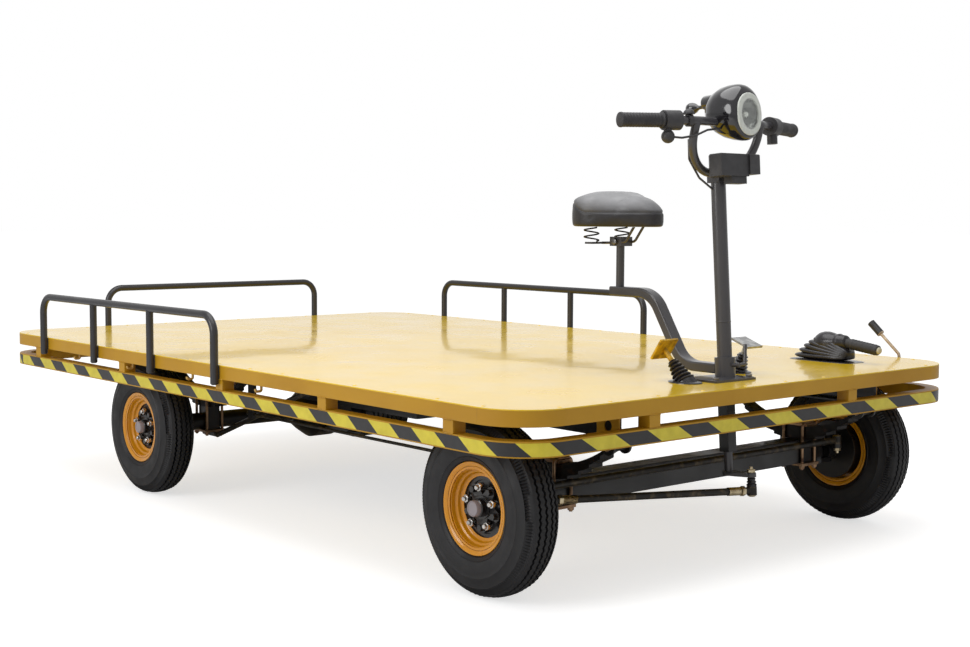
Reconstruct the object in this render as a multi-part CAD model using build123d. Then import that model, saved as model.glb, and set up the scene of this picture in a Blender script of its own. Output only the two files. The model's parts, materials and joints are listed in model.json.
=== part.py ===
from build123d import *
from math import cos, pi, sin
import os

os.makedirs("parts", exist_ok=True)

# Electric platform cart, in millimetres: +X forward, +Y left, +Z up, floor at Z 0.
# FIT parts round faces that meet, SLACK parts a pin from its bore.
FIT = 0.3
SLACK = 0.3

# Deck: a sheet on an edge tube with round corners
DECK_LENGTH = 2960
DECK_WIDTH = 1860
DECK_HEIGHT = 522
DECK_CORNER = 150
DECK_SHEET = 3
DRIVER_SHEET = 800
EDGE_TUBE = 40

# Bumper ring below the deck, and the stubs that hang it
BUMPER = 40
BUMPER_GAP = 34
STUB = 40
STUB_REAR_INSETS = (520, 520)
STUB_FRONT_INSETS = (465, 555)
TOW_PLATE = 4
TOW_HOLE = 14

# Chassis channels and cross members, which stand in from the rear and front ends and at the middle
REAR_MEMBERS = (290, 960)
FRONT_MEMBERS = (810, 260)
MIDDLE_MEMBER = 120
SHAFT_HOLE = 21
CHANNEL_HEIGHT = 60
CHANNEL_WIDTH = 40
CHANNEL_WALL = 5
CROSS_WIDTH = 40

# Rope hooks under the deck edge
HOOK_ROD = 8
HOOK_PITCH = 405
HOOK_REAR = 580
HOOK_DROP = 20
HOOK_REACH = 20

# Tube rails round the load
RAIL_TUBE = 25
RAIL_HEIGHT = 163
RAIL_BEND = 60
RAIL_PITCH = 408
RAIL_POSTS = 4
RAIL_REAR = 370
RAIL_POST = 24
RAIL_FOOT = 14
REAR_RAIL_INSET = 430

# Wheels and axles
WHEEL_RADIUS = 233.5
TYRE_WIDTH = 122
TREAD_CROWN = 11
TREAD_INSET = 21
WHEEL_GAP = 69
FRONT_OVERHANG = 305
REAR_OVERHANG = 842
RIM_SEAT = 101.5
RIM_FLANGE = 120
RIM_WIDTH = 100
RIM_HOLE = 74
RIM_LIP = 4
RIM_LIP_Y = 10
HUB_RADIUS = 88
HUB_STUDS = 5
STUD_CIRCLE = 53
SPINDLE = 15
DRUM_DEPTH = 57
BACK_PLATE = 92
BACK_PLATE_THICK = 4
BRAKE_GAP = 5

# Leaf springs, hangers and clamps
SPRING_INSET = 90
SPRING_SPAN = 235
SPRING_RISE = 75
SPRING_WIDTH = 50
LEAF = 8
LEAF_LENGTHS = (235, 200, 160, 120, 80)
EYE = 13
EYE_PIN = 6
HANGER_PLATE = 6
HANGER_LENGTH = 44
CLAMP_ROD = 5
CLAMP_PLATE = 8
CLAMP_BEND = 14

# Front axle beam, kingpins and steering
BEAM_WIDTH = 60
BEAM_HEIGHT = 73
BEAM_TOP = 285
KING_INSET = 140
KING_PIN = 9
KING_BOSS = 20
KING_RAKE = 4
YOKE_EAR = 14
YOKE_NEAR = 30
YOKE_FAR = 48
YOKE_WIDTH = 44
STEER_ARM = 80
ARM_THICK = 12
ARM_RISE = 22
BALL_RADIUS = 14
BALL_HEIGHT = 24
BALL_STUD = 6
LINK_ROD = 10

# Rear axle, drive and battery
REAR_TUBE = 30
DIFF_Y = -60
DIFF_RADIUS = 100
DIFF_HALF = 85
MOTOR_RADIUS = 85
MOTOR_LENGTH = 210
MOTOR_GAP = 8
GEAR_CASE = 50
BATTERY_LENGTH = 700
BATTERY_GAP = 160
BATTERY_RIM = 15
BATTERY_DROP = 149
RADIUS_ROD = 9
RADIUS_REACH = 640
BRAKE_ROD = 5
BRAKE_ROD_DROP = 125
BRAKE_ROD_REAR = 338
BRAKE_ROD_FRONT = 405
BRAKE_LUG = 14
BRAKE_LUG_WIDTH = 32

# Steering column, in its own leaning frame from the deck top
COLUMN_SETBACK = 163
COLUMN_TUBE = 21
COLUMN_TOP = 553
COLUMN_FOOT = 10
SHAFT = 12
SHAFT_END = 272
HOUSING = 34
HOUSING_END = 205
SLEEVE = 29
SLEEVE_TOP = 62
FOOT_PLATE = 6
FOOT_SIZE = 120
FOOT_SIDE = 50
PITMAN_DROP = 50

# Handlebar: the riser leans forward, and the ends of the bar sweep back
BAR = 12
BAR_HALF = 365
BAR_Z = 716
BAR_FORWARD = 48
BAR_SWEEP = 67
BAR_BEND = 60
RISER_Y = 136
RISER_Z = 579
RISER_BEND = 110
GRIP = 20
GRIP_LENGTH = 131
GRIP_END = 4
CLAMP_BLOCK = 44
THROTTLE = 27
THROTTLE_LENGTH = 50
POD_IN = 14
POD_DROP = 44
POD = 18.5
SWITCH_LENGTH = 45
SWITCH_DROP = 50
BELL = 17
BELL_IN = 214
CABLE = 3

# Headlight and control box on the handlebar
LAMP_WIDTH = 122
LAMP_HEIGHT = 158
LAMP_REAR = 20
LAMP_FRONT = 119
LAMP_Z = 741
LAMP_TAPER = 10
LAMP_DOME = 36
LENS_WIDTH = 100
LENS_HEIGHT = 118
LENS_THICK = 9
LENS_SEAT = 5
LENS_DROP = 9
LAMP_POCKET = 36
KEY_BOSS = 19
KEY_RISE = 36
KEY_HEAD = 16
BOX_WIDTH = 166
BOX_DEPTH = 62
BOX_HEIGHT = 62
BOX_DROP = 14

# Seat: arm, post, saddle
ARM_TUBE_HEIGHT = 28
ARM_TUBE_WIDTH = 40
ARM_LOW = 550
ARM_HIGH = 752
ARM_REACH = 443
ARM_KNEE_REAR = 279
ARM_KNEE_FRONT = 154
ARM_BEND = 90
POST_RADIUS = 12.5
POST_REACH = 417
POST_TOP = 888
SADDLE_LOW = 946
SADDLE_THICK = 104
SADDLE_SETBACK = 33
SADDLE_REAR = 80
SADDLE_REAR_Y = 65
SADDLE_NOSE = 50
SADDLE_NOSE_REACH = 143
SPRING_COIL = 14
COIL_Y = 66
COIL_SETBACK = 58

# Pedals: foot behind the column, y, lean back of the stem, stem length, pad length, pad width, pad tilt
PEDALS = (
    (10, -158, 42, 118, 66, 70, -14),
    (88, 158, -20, 96, 68, 66, 0),
)
PEDAL_STEM = 7
PEDAL_PAD = 6
BOOT_RADIUS = 30
BOOT_RIBS = 6

# Parking brake with its pleated boot, and the gear lever
BRAKE_X = 52
BRAKE_INSET = 265
BRAKE_LENGTH = 198
BRAKE_WIDTH = 96
BRAKE_PLEATS = 6
BRAKE_GRIP = 15.5
GEAR_ROD = 5

# Places worked out from the sizes above
RAIL_OUT = RAIL_TUBE + FIT
DECK_X = RAIL_OUT / 2
FRONT = DECK_X + DECK_LENGTH / 2
REAR = DECK_X - DECK_LENGTH / 2
HALF_WIDTH = DECK_WIDTH / 2
EDGE_TOP = DECK_HEIGHT - DECK_SHEET
EDGE_LOW = EDGE_TOP - EDGE_TUBE
BUMPER_TOP = EDGE_LOW - BUMPER_GAP
BUMPER_LOW = BUMPER_TOP - BUMPER
CHANNEL_LOW = EDGE_LOW - CHANNEL_HEIGHT
AXLE_FRONT = FRONT - FRONT_OVERHANG
AXLE_REAR = REAR + REAR_OVERHANG
WHEEL_Y = HALF_WIDTH - BUMPER - WHEEL_GAP - TYRE_WIDTH / 2
KING_Y = WHEEL_Y - KING_INSET
SPRING_Y = KING_Y - SPRING_INSET
CHANNEL_Y = SPRING_Y
CHANNEL_FACE = CHANNEL_Y + CHANNEL_WIDTH / 2
COLUMN_X = FRONT - COLUMN_SETBACK
MOTOR_FORWARD = DIFF_RADIUS + MOTOR_RADIUS + MOTOR_GAP
SPRING_TOP = BEAM_TOP + LEAF * len(LEAF_LENGTHS)
STATIONS = (
    [REAR + inset for inset in REAR_MEMBERS] + [DECK_X + MIDDLE_MEMBER]
    + [FRONT - inset for inset in FRONT_MEMBERS])
BRAKE_Y = HALF_WIDTH - BRAKE_INSET
BRAKE_LUGS = (AXLE_REAR + BRAKE_ROD_REAR, AXLE_FRONT - BRAKE_ROD_FRONT)
POST_X = COLUMN_X - POST_REACH
SIDES = (("right", -1), ("left", 1))

# The column and the kingpins lean back by the same angle, so that their axes are parallel
STEER_FRAME = Location((COLUMN_X, 0, DECK_HEIGHT), (0, -KING_RAKE, 0))


def king_frame(side):
    """Frame of one kingpin, at wheel axis height."""
    return Location((AXLE_FRONT, side * KING_Y, WHEEL_RADIUS), (0, -KING_RAKE, 0))


def block(x, y, z):
    """Box between a low and a high limit on each axis."""
    spans = (x, y, z)
    middle = [(low + high) / 2 for low, high in spans]
    return Pos(*middle) * Box(*[high - low for low, high in spans])


def rod(start, end, radius):
    """Round bar from one point to another."""
    line = Vector(*end) - Vector(*start)
    return extrude(Plane(origin=start, z_dir=line) * Circle(radius), line.length)


def bent_rod(points, bends, radius):
    """Round bar along straight runs joined by arcs."""
    path = FilletPolyline(*points, radius=bends)
    return sweep(Plane(origin=path @ 0, z_dir=path % 0) * Circle(radius), path=path)


def link_plate(start, start_radius, end, end_radius, low, thick):
    """Flat arm with round ends, lying in its frame's XY plane."""
    ends = Pos(*start) * Circle(start_radius) + Pos(*end) * Circle(end_radius)
    return Pos(0, 0, low) * extrude(make_hull(ends.edges()), thick)


def turned(profile):
    """Solid of revolution about Y from an outline of (y, radius) points."""
    outline = make_face(Polyline(*[(radius, y) for y, radius in profile], close=True))
    return revolve(outline, Axis.Y)


def mirrored_pair(make):
    """The right and left copies of a piece."""
    return [make(side) for _, side in SIDES]


# Deck, edge and bumper

def outline(inset):
    """Deck outline with round corners, drawn inward by a distance."""
    return RectangleRounded(DECK_LENGTH - 2 * inset, DECK_WIDTH - 2 * inset, DECK_CORNER - inset)


def straight_run(low, high):
    """Space that holds the straight sides between the round corners."""
    return block((REAR + DECK_CORNER, FRONT - DECK_CORNER), (-DECK_WIDTH, DECK_WIDTH), (low, high))


def ring(width, low, high):
    """Band of tube that follows the deck outline."""
    return Pos(DECK_X, 0, low) * extrude(outline(0) - outline(width), high - low)


def deck_sheets():
    """Load sheet and driver's sheet, with the hole for the steering shaft."""
    sheet = Pos(DECK_X, 0, EDGE_TOP) * extrude(outline(0), DECK_SHEET)
    driver = block((FRONT - DRIVER_SHEET, FRONT), (-DECK_WIDTH, DECK_WIDTH), (EDGE_TOP, DECK_HEIGHT))
    hole = STEER_FRAME * Cylinder(SHAFT_HOLE, 4 * EDGE_TUBE)
    return sheet - driver, (sheet & driver) - hole


def cross_members():
    """Square tubes across the deck, between the edge tubes."""
    inner = HALF_WIDTH - EDGE_TUBE
    half = CROSS_WIDTH / 2
    return [block((x - half, x + half), (-inner, inner), (EDGE_LOW, EDGE_TOP)) for x in STATIONS]


def chassis_channel(side):
    """Long channel with its open face inward, ended by the bumper ring."""
    run = (REAR + BUMPER, FRONT - BUMPER)
    outer = CHANNEL_FACE
    inner = outer - CHANNEL_WIDTH
    solid = block(run, (inner, outer), (CHANNEL_LOW, EDGE_LOW))
    hollow = block(
        run, (inner, outer - CHANNEL_WALL), (CHANNEL_LOW + CHANNEL_WALL, EDGE_LOW - CHANNEL_WALL))
    channel = solid - hollow
    return channel if side > 0 else mirror(channel, Plane.XZ)


def bumper_stubs():
    """Short square tubes between the deck edge and the bumper."""
    half = STUB / 2
    height = (BUMPER_TOP, EDGE_LOW)
    outer = HALF_WIDTH - STUB
    stubs = []
    for x in STATIONS:
        stubs.append(block((x - half, x + half), (outer, HALF_WIDTH), height))
        stubs.append(block((x - half, x + half), (-HALF_WIDTH, -outer), height))
    for x, insets in ((REAR, STUB_REAR_INSETS), (FRONT - STUB, STUB_FRONT_INSETS)):
        for (_, side), inset in zip(SIDES, insets):
            y = side * (HALF_WIDTH - inset)
            stubs.append(block((x, x + STUB), (y - half, y + half), height))
    return stubs


def tow_plate(side):
    """Plate with a round hole, welded on the outer face of a chassis channel's front end."""
    face = sorted((side * CHANNEL_FACE, side * (CHANNEL_FACE + TOW_PLATE)))
    front = FRONT - BUMPER
    middle = (CHANNEL_LOW + EDGE_LOW) / 2
    plate = block((front - 2 * STUB, front), face, (CHANNEL_LOW, EDGE_LOW))
    return plate - rod((front - STUB, -HALF_WIDTH, middle), (front - STUB, HALF_WIDTH, middle), TOW_HOLE)


def rope_hooks():
    """J-shaped hooks under the deck edge, four a side."""
    hooks = []
    for _, side in SIDES:
        for number in range(4):
            x = REAR + HOOK_REAR + number * HOOK_PITCH
            inner = side * (HALF_WIDTH - HOOK_REACH - HOOK_ROD)
            tip = side * (HALF_WIDTH - HOOK_ROD)
            low = EDGE_LOW - HOOK_DROP
            points = ((x, inner, EDGE_LOW), (x, inner, low), (x, tip, low), (x, tip, low + HOOK_ROD))
            hooks.append(bent_rod(points, HOOK_ROD * 0.7, HOOK_ROD / 2))
    return hooks


# Rails

def rail_tube(start, end, posts):
    """Tube bent into two posts and a top, with middle posts, welded to the outside of the deck edge."""
    radius = RAIL_TUBE / 2
    foot = EDGE_LOW - RAIL_FOOT
    top = DECK_HEIGHT + RAIL_HEIGHT - radius
    corners = [(*start, foot), (*start, top), (*end, top), (*end, foot)]
    rail = bent_rod(corners, RAIL_BEND, radius)
    for step in range(1, posts - 1):
        share = step / (posts - 1)
        x, y = [a + (b - a) * share for a, b in zip(start, end)]
        rail += rod((x, y, foot), (x, y, top), RAIL_POST / 2)
    return rail


def side_rail(side):
    """Rail along one side of the load."""
    y = side * (HALF_WIDTH + FIT + RAIL_TUBE / 2)
    first = REAR + RAIL_REAR
    last = first + RAIL_PITCH * (RAIL_POSTS - 1)
    return rail_tube((first, y), (last, y), RAIL_POSTS)


def rear_rail():
    """Rail across the rear of the load."""
    x = REAR - FIT - RAIL_TUBE / 2
    y = HALF_WIDTH - REAR_RAIL_INSET
    return rail_tube((x, -y), (x, y), 2)


# Springs

def spring_eye_height():
    """Height of the spring eyes above the floor."""
    return SPRING_TOP - LEAF / 2 + SPRING_RISE


def leaf_spring(x, y):
    """Arched pack of leaves, the longest on top with an eye rolled at each end."""
    middle = (SPRING_SPAN ** 2 + SPRING_RISE ** 2) / (2 * SPRING_RISE)
    centre = SPRING_TOP - LEAF / 2 + middle
    top = middle - LEAF / 2
    pack = Sketch()
    for number, half in enumerate(LEAF_LENGTHS):
        band = Circle(top + (number + 1) * LEAF) - Circle(top + number * LEAF)
        pack += band & (Pos(0, -middle) * Rectangle(2 * half, middle))
    for end in (-SPRING_SPAN, SPRING_SPAN):
        eye = Pos(end, SPRING_RISE - middle)
        pack += eye * Circle(EYE)
        pack -= eye * Circle(EYE_PIN + SLACK)
    return Pos(x, y + SPRING_WIDTH / 2, centre) * Rot(90, 0, 0) * extrude(pack, SPRING_WIDTH)


def spring_hanger(x, y):
    """Bracket under the chassis channel: two cheeks, a top plate and the eye pin."""
    eye = spring_eye_height()
    half = HANGER_LENGTH / 2
    inner = SPRING_WIDTH / 2 + 1
    outer = inner + HANGER_PLATE
    bracket = block((x - half, x + half), (y - outer, y + outer), (eye, CHANNEL_LOW))
    bracket += Pos(x, y, eye) * Rot(90, 0, 0) * Cylinder(half, 2 * outer)
    bracket -= block((x - half, x + half), (y - inner, y + inner), (eye - half, CHANNEL_LOW - CHANNEL_WALL))
    return bracket + rod((x, y - outer, eye), (x, y + outer, eye), EYE_PIN)


def spring_clamp(x, y, axle_half, axle_low):
    """Two U-bolts over the leaves and the plate that they pull up under the axle."""
    reach_x = axle_half + CLAMP_ROD + 1
    reach_y = SPRING_WIDTH / 2 + CLAMP_ROD + 1
    low = axle_low - CLAMP_PLATE
    edge = 2 * CLAMP_ROD
    wide = (x - reach_x - edge, x + reach_x + edge)
    pad_low = SPRING_TOP + reach_x ** 2 / (2 * SPRING_SPAN)
    pad_top = pad_low + CLAMP_PLATE
    top = pad_top + CLAMP_ROD * 0.6
    clamp = block(wide, (y - reach_y - edge, y + reach_y + edge), (low, axle_low))
    clamp += block(wide, (y - SPRING_WIDTH / 2, y + SPRING_WIDTH / 2), (pad_low, pad_top))
    tip = low - 2.4 * CLAMP_ROD
    for bolt in (x - reach_x, x + reach_x):
        legs = [(bolt, y - reach_y, tip), (bolt, y - reach_y, top), (bolt, y + reach_y, top),
                (bolt, y + reach_y, tip)]
        clamp += bent_rod(legs, CLAMP_BEND, CLAMP_ROD)
        for leg in (y - reach_y, y + reach_y):
            clamp += extrude(Pos(bolt, leg, low) * RegularPolygon(1.8 * CLAMP_ROD, 6), -1.6 * CLAMP_ROD)
    return clamp


# Front axle and knuckles

def front_axle():
    """Box beam with a boss for a kingpin at each end."""
    low = BEAM_TOP - BEAM_HEIGHT
    neck = KING_Y - 45
    half = BEAM_WIDTH / 2
    beam = block((AXLE_FRONT - half, AXLE_FRONT + half), (-neck, neck), (low, BEAM_TOP))
    for _, side in SIDES:
        span = sorted((side * (neck - 5), side * KING_Y))
        beam += block((AXLE_FRONT - KING_BOSS, AXLE_FRONT + KING_BOSS), span, (low + 6, BEAM_TOP - 6))
        boss = Pos(0, 0, BEAM_TOP - BEAM_HEIGHT / 2 - WHEEL_RADIUS) * Cylinder(KING_BOSS, BEAM_HEIGHT)
        bore = Cylinder(KING_PIN + SLACK, 3 * BEAM_HEIGHT)
        beam = beam + king_frame(side) * boss - king_frame(side) * bore
    return beam


def stud_bore(low):
    """Bore through a ball joint housing."""
    return rod((0, 0, low - BALL_HEIGHT), (0, 0, low + 2 * BALL_HEIGHT), BALL_STUD + SLACK)


def ball_socket(location, low):
    """Ball joint housing of a link, with its bore for the stud."""
    socket = rod((0, 0, low), (0, 0, low + BALL_HEIGHT), BALL_RADIUS)
    return location * (socket - stud_bore(low))


def knuckle(side):
    """Yoke on its kingpin, with the spindle, brake back plate and steering arm."""
    top = BEAM_TOP - WHEEL_RADIUS + SLACK
    low = top - BEAM_HEIGHT - 2 * SLACK
    near, far = sorted((side * YOKE_NEAR, side * YOKE_FAR))
    half = YOKE_WIDTH / 2
    body = block((-half, half), (near, far), (low - YOKE_EAR, top + YOKE_EAR))
    for ear in (low - YOKE_EAR, top):
        plate = link_plate((0, 0), half, (0, side * YOKE_NEAR), half, ear, YOKE_EAR)
        body += plate & block((-half, half), sorted((-side * half, side * YOKE_FAR)), (ear, ear + YOKE_EAR))
    body += rod((0, 0, low - YOKE_EAR - 6), (0, 0, top + YOKE_EAR + 6), KING_PIN)
    wheel = WHEEL_Y - KING_Y
    plate = wheel - DRUM_DEPTH - BRAKE_GAP
    body += rod((0, side * YOKE_NEAR, 0), (0, side * (wheel + 24), 0), SPINDLE)
    body += rod((0, side * YOKE_NEAR, 0), (0, side * plate, 0), 2 * SPINDLE)
    body += rod((0, side * (plate - BACK_PLATE_THICK), 0), (0, side * plate, 0), BACK_PLATE)
    arm_low = ARM_RISE - ARM_THICK / 2
    body += link_plate((0, side * (YOKE_NEAR + 9)), 9, (STEER_ARM, 0), BALL_RADIUS, arm_low, ARM_THICK)
    reach = ARM_THICK / 2 + BALL_HEIGHT + 2
    stud_low = ARM_RISE - (reach if side < 0 else 0)
    body += rod((STEER_ARM, 0, stud_low), (STEER_ARM, 0, ARM_RISE + reach), BALL_STUD)
    return king_frame(side) * body


def arm_eye(frame, rise):
    """Point on the stud of a steering arm, in the cart's frame."""
    return (frame * Pos(STEER_ARM, 0, rise)).position


def tie_rod():
    """Track rod over the two steering arms."""
    low = ARM_RISE + ARM_THICK / 2 + SLACK
    rise = low + BALL_HEIGHT / 2
    ends = [arm_eye(king_frame(side), rise) for _, side in SIDES]
    link = rod(ends[0], ends[1], LINK_ROD)
    for _, side in SIDES:
        eye = king_frame(side) * Pos(STEER_ARM, 0, 0)
        link = link - eye * stud_bore(low) + ball_socket(eye, low)
    return link


def drag_link():
    """Rod from the pitman arm to the right steering arm."""
    king = king_frame(-1)
    king_low = ARM_RISE - ARM_THICK / 2 - SLACK - BALL_HEIGHT
    pitman_low = -SHAFT_END - PITMAN_DROP
    start = arm_eye(king, king_low + BALL_HEIGHT / 2)
    end = arm_eye(STEER_FRAME, pitman_low + BALL_HEIGHT / 2)
    link = rod(start, end, LINK_ROD)
    for frame, low in ((king, king_low), (STEER_FRAME, pitman_low)):
        eye = frame * Pos(STEER_ARM, 0, 0)
        link = link - eye * stud_bore(low) + ball_socket(eye, low)
    return link


# Rear axle, drive, battery and rods

def rear_axle():
    """Axle tube with the differential, gear case, spring seats, brake plates and spindles."""
    plate = WHEEL_Y - DRUM_DEPTH - BRAKE_GAP
    tube = rod((0, -plate, 0), (0, plate, 0), REAR_TUBE)
    tube += rod((0, -WHEEL_Y - 24, 0), (0, WHEEL_Y + 24, 0), SPINDLE)
    shoulder = DIFF_RADIUS * 0.72
    outer = DIFF_HALF * 1.5
    tube += Pos(0, DIFF_Y, 0) * turned(
        ((-outer, 0), (-outer, REAR_TUBE + 8), (-DIFF_HALF, shoulder), (-DIFF_HALF / 2, DIFF_RADIUS),
         (DIFF_HALF / 2, DIFF_RADIUS), (DIFF_HALF, shoulder), (outer, REAR_TUBE + 8), (outer, 0)))
    wheels = Circle(DIFF_RADIUS * 0.8) + Pos(MOTOR_FORWARD, 0) * Circle(MOTOR_RADIUS * 0.8)
    case = make_hull(wheels.edges())
    tube += Pos(0, DIFF_Y + GEAR_CASE / 2, 0) * Rot(90, 0, 0) * extrude(case, GEAR_CASE)
    seat = BEAM_TOP - WHEEL_RADIUS
    half = SPRING_WIDTH / 2
    for _, side in SIDES:
        y = side * SPRING_Y
        tube += block((-REAR_TUBE, REAR_TUBE), (y - half, y + half), (0, seat))
        tube += block((-REAR_TUBE, REAR_TUBE), (y - half, y + half), (-REAR_TUBE, 0))
        tube += rod((0, side * (plate - BACK_PLATE_THICK), 0), (0, side * plate, 0), BACK_PLATE)
    return Pos(AXLE_REAR, 0, WHEEL_RADIUS) * tube


def drive_motor():
    """Motor on the face of the gear case, with a finned barrel and an end cover."""
    start = DIFF_Y + GEAR_CASE / 2
    fin = MOTOR_RADIUS - 5
    profile = [(0, 0), (0, MOTOR_RADIUS)]
    fins = 7
    pitch = (MOTOR_LENGTH - 60) / fins
    for number in range(fins):
        y = 30 + number * pitch
        profile += [(y, MOTOR_RADIUS), (y, fin), (y + pitch / 2, fin), (y + pitch / 2, MOTOR_RADIUS)]
    profile += [(MOTOR_LENGTH - 12, MOTOR_RADIUS), (MOTOR_LENGTH, MOTOR_RADIUS - 14), (MOTOR_LENGTH, 0)]
    return Pos(AXLE_REAR + MOTOR_FORWARD, start, WHEEL_RADIUS) * turned(profile)


def battery_box():
    """Battery case hung under the cross members, with a flange round its top."""
    half_x = BATTERY_LENGTH / 2
    half_y = CHANNEL_FACE - CHANNEL_WIDTH - BATTERY_GAP
    low = EDGE_LOW - BATTERY_DROP
    case = block((DECK_X - half_x, DECK_X + half_x), (-half_y, half_y), (low, EDGE_LOW))
    case = fillet(case.edges().filter_by(Axis.Z), 12)
    rim_x = half_x + BATTERY_RIM
    rim_y = half_y + BATTERY_RIM
    return case + block((DECK_X - rim_x, DECK_X + rim_x), (-rim_y, rim_y), (EDGE_LOW - 4, EDGE_LOW))


def radius_rod(side):
    """Rod from under the rear axle clamp forward and up to a lug on the chassis channel."""
    y = side * SPRING_Y
    low = WHEEL_RADIUS - REAR_TUBE - CLAMP_PLATE - RADIUS_ROD - 1
    clear = AXLE_REAR + REAR_TUBE + 3 * CLAMP_ROD + 10
    end = (AXLE_REAR + RADIUS_REACH, y, CHANNEL_LOW - 20)
    bar = rod((clear, y, low), end, RADIUS_ROD)
    lug = link_plate((0, 0), 16, (0, 20), 16, -6, 12) & Pos(0, -8) * Box(40, 56, 40)
    bar += Pos(*end) * Rot(90, 0, 0) * lug
    bar += block((AXLE_REAR - REAR_TUBE, clear + 10), (y - 12, y + 12), (low - 4, low + RADIUS_ROD + 1))
    return bar


def brake_line(radius):
    """Round bar along the brake pull rod's line on the right."""
    y = -CHANNEL_FACE - BRAKE_LUG / 2
    z = CHANNEL_LOW - BRAKE_ROD_DROP
    start, end = BRAKE_LUGS
    return rod((start - BRAKE_LUG_WIDTH, y, z), (end + BRAKE_LUG_WIDTH, y, z), radius)


def brake_lugs():
    """Lugs on the outer face of the right chassis channel, bored for the brake pull rod."""
    half = BRAKE_LUG_WIDTH / 2
    across = (-CHANNEL_FACE - BRAKE_LUG, -CHANNEL_FACE)
    height = (CHANNEL_LOW - BRAKE_ROD_DROP - BRAKE_LUG, CHANNEL_LOW + CHANNEL_HEIGHT / 2)
    lugs = [block((x - half, x + half), across, height) for x in BRAKE_LUGS]
    return [lug - brake_line(BRAKE_ROD + FIT) for lug in lugs]


# Steering column, foot and housing

def steering_post():
    """Column tube, the shaft through the deck, and the pitman arm with its ball stud."""
    post = rod((0, 0, COLUMN_FOOT), (0, 0, COLUMN_TOP), COLUMN_TUBE)
    post += rod((0, 0, -SHAFT_END), (0, 0, COLUMN_FOOT), SHAFT)
    post += link_plate((0, 0), SHAFT + 6, (STEER_ARM, 0), BALL_RADIUS, -SHAFT_END, ARM_THICK)
    post += rod((STEER_ARM, 0, -SHAFT_END - PITMAN_DROP), (STEER_ARM, 0, -SHAFT_END + 6), BALL_STUD)
    return STEER_FRAME * post


def steering_foot():
    """Base plate, the sleeve that the column turns in, and its clamp lever."""
    half = FOOT_SIZE / 2
    plate = block(
        (COLUMN_X - half, COLUMN_X + half), (-half - FOOT_SIDE, half),
        (DECK_HEIGHT, DECK_HEIGHT + FOOT_PLATE))
    sleeve = STEER_FRAME * rod((0, 0, 0), (0, 0, SLEEVE_TOP), SLEEVE)
    sleeve -= block((0, 2 * COLUMN_X), (-half, half), (0, DECK_HEIGHT))
    bore = STEER_FRAME * Cylinder(COLUMN_TUBE + SLACK, 4 * SLEEVE_TOP)
    foot = plate + sleeve - bore
    pivot = SLEEVE_TOP - 22
    lever = rod((COLUMN_TUBE + 4, 0, pivot), (SLEEVE + 24, 0, pivot), 6)
    elbow = ((SLEEVE + 18, 0, pivot), (SLEEVE + 18, 30, pivot), (SLEEVE + 12, 42, pivot + 55))
    lever += bent_rod(elbow, 10, 5)
    return foot + STEER_FRAME * lever


def steering_housing():
    """Square tube below the deck that carries the steering shaft."""
    tube = Pos(0, 0, -HOUSING_END / 2) * Box(HOUSING, HOUSING, HOUSING_END)
    tube -= Cylinder(SHAFT + SLACK, 3 * HOUSING_END)
    above = block((0, 2 * FRONT), (-HOUSING, HOUSING), (EDGE_TOP, DECK_HEIGHT + HOUSING))
    return STEER_FRAME * tube - above


# Handlebar and what it carries, in the column's leaning frame

def bar_point(side, inward, drop=0):
    """Point on one swept half of the bar, a distance in from its end."""
    end = Vector(BAR_FORWARD - BAR_SWEEP, side * BAR_HALF, BAR_Z)
    knee = Vector(BAR_FORWARD, side * RISER_Y, BAR_Z)
    return tuple(end + (knee - end).normalized() * inward - Vector(0, 0, drop))


def handlebar():
    """Bar with swept ends on a U-shaped riser, welded to the block on the column's top."""
    knees = [(BAR_FORWARD, side * RISER_Y, BAR_Z) for _, side in SIDES]
    bar = bent_rod((bar_point(-1, 0), *knees, bar_point(1, 0)), BAR_BEND, BAR)
    riser = (knees[0], (0, -RISER_Y, RISER_Z), (0, RISER_Y, RISER_Z), knees[1])
    bar += bent_rod(riser, RISER_BEND, BAR)
    half = CLAMP_BLOCK / 2
    bar += block((-half, half), (-half, half), (COLUMN_TOP, RISER_Z + BAR + 4))
    return STEER_FRAME * bar


def bar_bore(side):
    """Clearance for one swept half of the bar."""
    return rod(bar_point(side, 0), bar_point(side, BELL_IN + BELL), BAR + FIT)


def grips():
    """Rubber grips over the two ends of the bar."""
    pair = []
    for _, side in SIDES:
        grip = rod(bar_point(side, -GRIP_END), bar_point(side, GRIP_LENGTH), GRIP)
        pair.append(STEER_FRAME * (grip - bar_bore(side)))
    return pair


def bar_collar(side, start, length, radius):
    """Ring clamped round one half of the bar."""
    return rod(bar_point(side, start), bar_point(side, start + length), radius)


def switch_pod():
    """Round pod that hangs below the throttle."""
    return Pos(*bar_point(-1, GRIP_LENGTH + POD_IN, POD_DROP)) * Sphere(POD)


def bar_controls():
    """Throttle with its switch pod on the right, lever collar on the left, and the bell."""
    inner = GRIP_LENGTH + 1
    throttle = bar_collar(-1, inner, THROTTLE_LENGTH, THROTTLE)
    pod_in = GRIP_LENGTH + POD_IN
    throttle += rod(bar_point(-1, pod_in, POD_DROP), bar_point(-1, pod_in), POD * 0.6) + switch_pod()
    switch = bar_collar(1, inner, SWITCH_LENGTH, THROTTLE)
    middle = inner + SWITCH_LENGTH / 2
    switch += rod(bar_point(1, middle, SWITCH_DROP), bar_point(1, middle), SWITCH_LENGTH / 3)
    bell = bar_collar(-1, BELL_IN - 7, 14, BAR + 5)
    dome = Sphere(BELL) & Pos(0, 0, BELL + 2) * Box(2 * BELL, 2 * BELL, 2 * BELL)
    bell += Pos(*bar_point(-1, BELL_IN, -BAR - 3)) * dome
    right = [piece - bar_bore(-1) for piece in (throttle, bell)]
    return [STEER_FRAME * piece for piece in (*right, switch - bar_bore(1))]


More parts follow.
